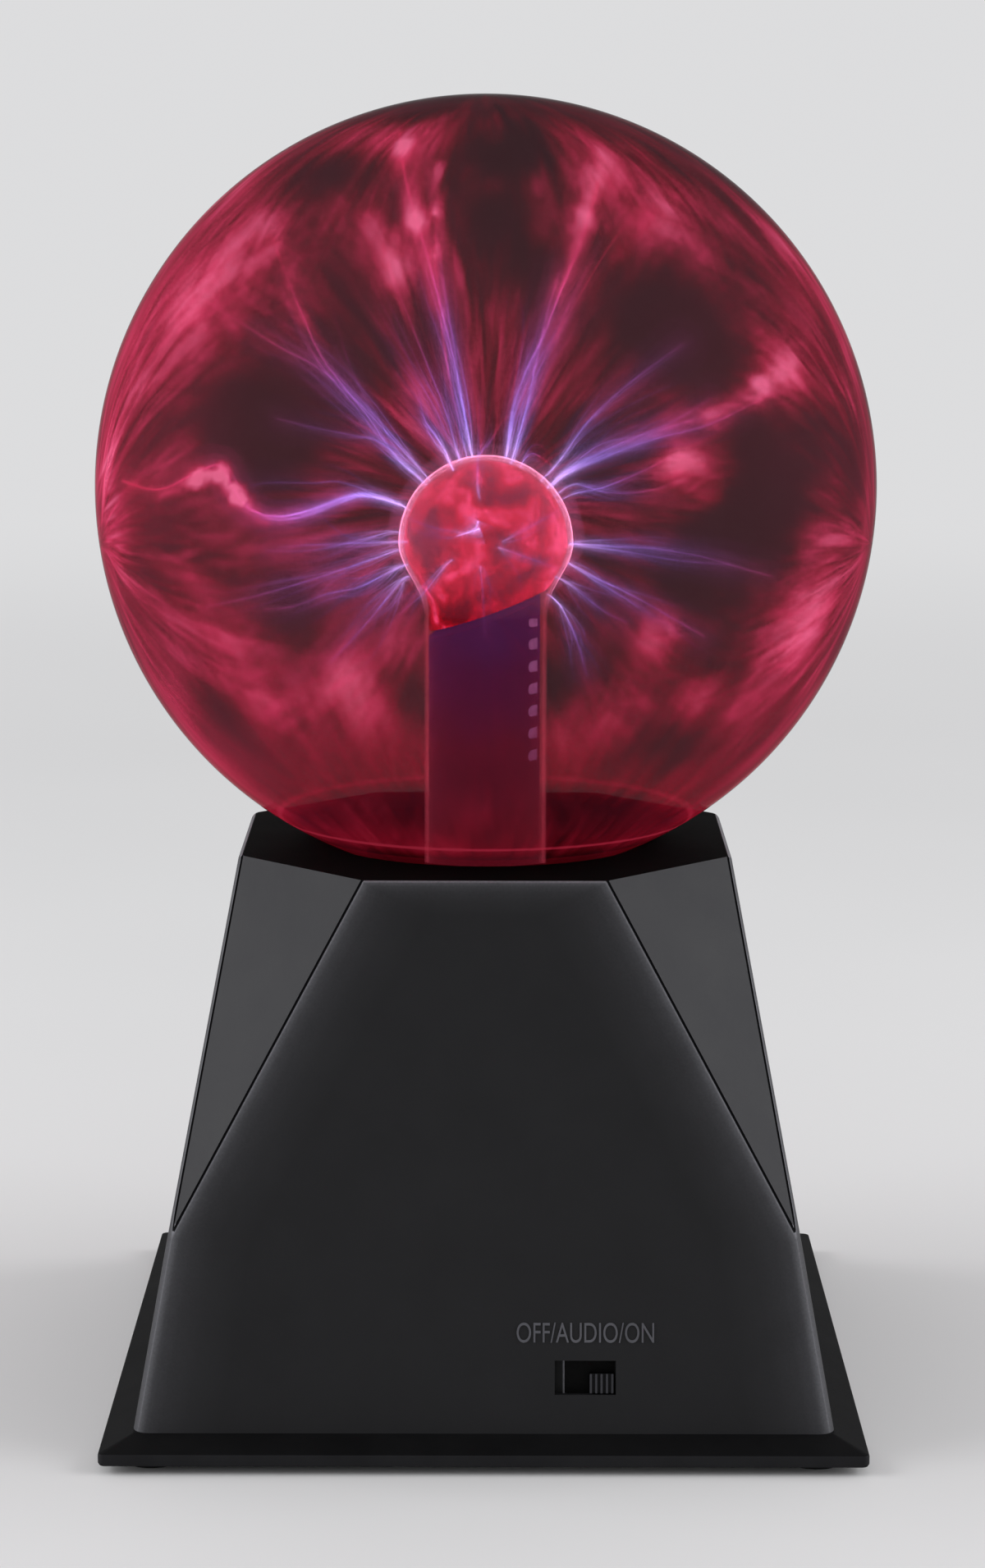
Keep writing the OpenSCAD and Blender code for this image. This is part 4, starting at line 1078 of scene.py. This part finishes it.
# Clouds on the glass: place in the picture, radius and strength. Negative strength keeps a place dark
CLOUDS = (
    (-16.5, 68, 9, 0.5), (-28, 68, 10, 0.35), (24, 64, 10, 0.4), (33, 56, 10, 0.35), (17, 70, 6, 0.25),
    (-64, 30, 14, 0.4), (-56, 38, 12, 0.3), (-47, 48, 12, 0.3), (-52, 56, 12, 0.3), (-39, 41, 9, 0.15),
    (-36, 32, 8, 0.25), (-24, 53, 10, 0.2), (-20, 46, 9, 0.25), (58, 24, 10, 0.4), (62, 41, 12, 0.25),
    (68, 18, 10, 0.25), (38, 5, 6, 0.34), (46, 3, 5, 0.36), (42, -2, 4, 0.34), (63, -27, 12, 0.5),
    (57, -33, 12, 0.4), (33, -29, 6, 0.6), (27, -40, 8, 0.5), (41, -41, 7, 0.5), (50, -43, 5, 0.4),
    (20, -49, 8, 0.3), (-48, -33, 12, 0.42), (-42, -43, 8, 0.5), (-28, -38, 8, 0.45), (-58, -16, 10, 0.4),
    (-32, -54, 10, 0.25), (-21, -46, 8, 0.2), (-18, -29, 8, 0.15), (-74, 3, 8, 0.7), (-72, -12, 9, 0.5),
    (4, 18, 8, 0.15), (1, 30, 8, 0.15), (-15, 19, 8, 0.2),
    (-42, 11, 14, -0.5), (-52, 11, 9, -0.3), (1, 54, 9, -0.4), (4, 65, 7, -0.4), (-31, 62, 10, -0.35),
    (-28, 40, 9, -0.3), (33, 33, 13, -0.5), (42, 27, 10, -0.4), (57, -2, 12, -0.5), (46, -8, 10, -0.4),
    (52, 11, 8, -0.35), (-40, -21, 8, -0.25), (8, 44, 7, -0.25), (38, -18, 10, -0.3), (-38, -26, 9, -0.25),
    (26, -31, 7, -0.2), (-10, -42, 6, -0.3), (14, -38, 6, -0.3), (-52, -44, 7, -0.3), (34, -50, 7, -0.3),
    (72, 2, 7, -0.3),
)
CLOUD_BASE = 0.52
CLOUD_GAIN = 0.85
FOOT_GAIN = 0.3
FRONT_THINNING = 0.6
TOP_LOSS = 0.25

# Plumes where streamers reach the glass: points, side of the globe, radius and strength
PLUMES = (
    (((-34, 29), (-39, 43), (-44, 53)), BACK, 3.2, 0.25),
    (((-38, 25), (-48.5, 30.5), (-57, 35)), FRONT, 4, 0.3),
    (((-9, 36), (-13.5, 52), (-16.5, 67)), FRONT, 2.2, 0.6),
    (((-9.5, 46), (-10, 54), (-9, 63)), BACK, 1.6, 0.55),
    (((-14, 33), (-18, 43), (-21, 53)), BACK, 2.8, 0.25),
    (((14, 38), (19.5, 54), (23.5, 67)), BACK, 2.6, 0.42),
    (((17.5, 35), (25.5, 46), (32, 53.5)), FRONT, 2.4, 0.32),
    (((44, 14.5), (53.5, 19.5), (60, 24)), BACK, 2.6, 0.55),
    (((33, 2.5), (37.5, 5.5), (41, 5)), BACK, 2.4, 0.45),
    (((37.5, 1.5), (45.5, -1.5)), FRONT, 2.2, 0.5),
    (((-43.5, -6), (-48.5, -1.5), (-51.5, 3), (-56.5, 2), (-63.5, -1.5)), FRONT, 2.0, 1.2),
)


def on_glass(right, up, side):
    """The place in the glass that the camera sees, at the globe's front or back."""
    ahead = (seen_at(right * MM, up * MM, 0) - CAMERA_AT).normalized()
    out = CAMERA_AT - GLOBE_CENTRE
    along = -out.dot(ahead)
    half = math.sqrt(max(0, GLOW_R ** 2 - (out + ahead * along).length_squared))
    return CAMERA_AT + ahead * (along + side * half)


def glow_patches():
    """Clouds and plumes as stretches on the glass, each with its ends, radius and strength."""
    found = []
    for right, up, radius, strength in CLOUDS:
        for side in (BACK, FRONT):
            place = on_glass(right, up, side)
            found.append((place, place, radius * MM, strength * (CLOUD_GAIN if strength > 0 else 1)))
    for seen, side, radius, strength in PLUMES:
        places = [on_glass(right, up, side) for right, up in seen]
        found += [(a, b, radius * MM, strength) for a, b in zip(places, places[1:])]
    return found


def cloud_cover(point, patches):
    """How thick the glow is at a point of the glass."""
    low = unit((GLOBE_Z - point.z) / GLOBE_R)
    front = unit(-1.6 * (point - GLOBE_CENTRE).dot(AWAY) / GLOBE_R)
    foot = unit((low - 0.6) / 0.25)
    high = unit(((point.z - GLOBE_Z) / GLOBE_R - 0.75) / 0.25)
    total = (CLOUD_BASE + FOOT_GAIN * foot - TOP_LOSS * high) * (1 - FRONT_THINNING * front * (1 - foot))
    for first, last, radius, strength in patches:
        if (point - first).length > 3 * radius + (last - first).length:
            continue
        along = last - first
        t = (point - first).dot(along) / along.length_squared if along.length_squared else 0
        gap = point - first - along * unit(t)
        total += strength * math.exp(-gap.length_squared / radius ** 2)
    return total


def dress_nodes():
    """Finishes for the CAD pieces that keep their shape."""
    steel = metal("zinc_steel", "b8b8bc", 0.35)
    brass = metal("contact_brass", "c8a860", 0.35)
    black = moulded("component_black", "141416", "1c1c1f", 0.5, 0.3)
    copper = wound_wire("copper_wire", "c07038", 0.35 * MM)
    looks = {
        "rubber_feet": moulded("foot_rubber", "0c0c0c", "151515", 0.8, 0.2),
        "exhaust_tip": moulded("tip_glass", "6a4048", "86505c", 0.12, 0.5, relief=0.004 * MM),
        "electrode_liner": liner_film(),
        "stem_plug": moulded("silicone", "d4d0c4", "e0dcd2", 0.6, 0.3, relief=0.01 * MM),
        "globe_gasket": moulded("gasket_rubber", "060606", "0b0b0b", 0.8, 0.05),
        "globe_cup": moulded("cup_plastic", "28282a", "303033", 0.55, 0.3),
        "hv_lead": moulded("lead_red", "981c1c", "b42424", 0.4, 0.4, relief=0.005 * MM),
        "circuit_board": board_mask(),
        "transformer_core": moulded("ferrite", "2e2e32", "3c3c41", 0.75, 0.3, grain=0.25 * MM),
        "secondary_bobbin": moulded("bobbin_plastic", "d2ccb8", "ddd8c6", 0.5, 0.35, relief=0.01 * MM),
        "heat_sink": metal("sink_aluminium", "b4b8bc", 0.4, (1, 12, 1)),
        "microphone": metal("microphone_can", "c4c6c8", 0.3),
        "filter_capacitors": moulded("capacitor_sleeve", "1c2a44", "263856", 0.35, 0.45, relief=0.006 * MM),
        "film_capacitor": moulded("film_resin", "80281e", "963428", 0.35, 0.45, relief=0.006 * MM),
        "resistors": banded_resistors(),
        "jack_pin": metal("pin_nickel", "d0d0d2", 0.22),
        "switch_frame": blackened_frame(),
        "terminal_board": moulded("phenolic", "5c3e24", "70502f", 0.6, 0.3, grain=0.3 * MM),
        "switch_knob": knob_plastic(),
    }
    shared = (
        (steel, [name for name in nodes if name.endswith(("_screws", "_screw"))]),
        (brass, ("hv_contact", "jack_contacts", "switch_terminals", "switch_contact")),
        (black, ("power_transistor", "control_chip", "microphone_boot", "dc_jack")),
        (copper, ("primary_winding", "secondary_windings")),
        (looks["stem_plug"], ("neck_bond",)),
        (looks["hv_lead"], ("switch_leads",)),
    )
    looks.update({name: material for material, names in shared for name in names})
    for name, material in looks.items():
        nodes[name].data.materials.clear()
        nodes[name].data.materials.append(material)


# Stage

FLOOR_HALF = 12.0
FLOOR_NEAR = 0.3
FLOOR_FAR = 1.6
BACKGROUND = (0.72, 0.72, 0.73, 1)
AMBIENT = (0.55, 0.55, 0.55, 1)
LAMP_AIM = Vector((0, 0, 0.12))
LAMP_SIZE = 1.2
LAMP_POWER = 14


def build_floor():
    """Pale paper near the object, which goes over to the background farther out."""
    bm = bmesh.new()
    bmesh.ops.create_grid(bm, x_segments=8, y_segments=8, size=FLOOR_HALF)
    s = Shader("floor_paper")
    tone = s.ramp(s.noise(3, 2), (0.3, (0.74, 0.74, 0.75, 1)), (0.7, (0.77, 0.77, 0.78, 1)))
    paper = s.add("BsdfPrincipled", {"Base Color": tone, "Roughness": 0.9, "Specular IOR Level": 0.1})
    away = s.add("VectorMath", {0: s.place()}, operation="LENGTH").outputs["Value"]
    fade = s.spread(away, FLOOR_NEAR, FLOOR_FAR, smooth=True)
    sweep = s.blend(fade, paper, s.add("Emission", {"Color": BACKGROUND}))
    new_object("floor", mesh_from(bm, "floor"), sweep)


def build_world():
    """A pale background for what the camera, gloss and glass see, and an even light for the rest."""
    s = Shader(bpy.data.worlds.new("studio"), "OutputWorld")
    bpy.context.scene.world = s.owner
    path = s.add("LightPath").outputs
    seen = s.math("MAXIMUM", path["Is Camera Ray"], path["Is Glossy Ray"])
    seen = s.math("MAXIMUM", seen, path["Is Transmission Ray"])
    s.blend(seen, s.add("Background", {"Color": AMBIENT}), s.add("Background", {"Color": BACKGROUND}))


def add_lamp(name, at):
    lamp = bpy.data.lights.new(name, "AREA")
    lamp.shape = "RECTANGLE"
    lamp.size = lamp.size_y = LAMP_SIZE
    lamp.energy = LAMP_POWER
    made = new_object(name, lamp)
    made.location = at
    made.rotation_euler = (LAMP_AIM - Vector(at)).to_track_quat("-Z", "Y").to_euler()


def build_camera():
    camera = bpy.data.cameras.new("camera")
    camera.sensor_fit = "HORIZONTAL"
    camera.sensor_width = SENSOR_MM
    camera.lens = SENSOR_MM * FOCAL_PIXELS / IMAGE_WIDTH
    made = new_object("camera", camera)
    turn = Matrix.Rotation(math.pi / 2 - CAMERA_PITCH, 4, "X") @ Matrix.Rotation(CAMERA_ROLL, 4, "Z")
    made.matrix_world = Matrix.Translation(CAMERA_AT) @ turn
    bpy.context.scene.camera = made


def build_stage():
    build_floor()
    build_world()
    add_lamp("left_lamp", (-1.3, -0.1, 0.55))
    add_lamp("right_lamp", (1.3, -0.1, 0.55))
    build_camera()
    scene = bpy.context.scene
    scene.view_settings.view_transform = "Standard"
    scene.cycles.transparent_max_bounces = 256


build_stage()
dress_nodes()
build_cover()
build_plate()
build_legend()
build_globe(glow_patches())
build_electrode()
build_plasma()
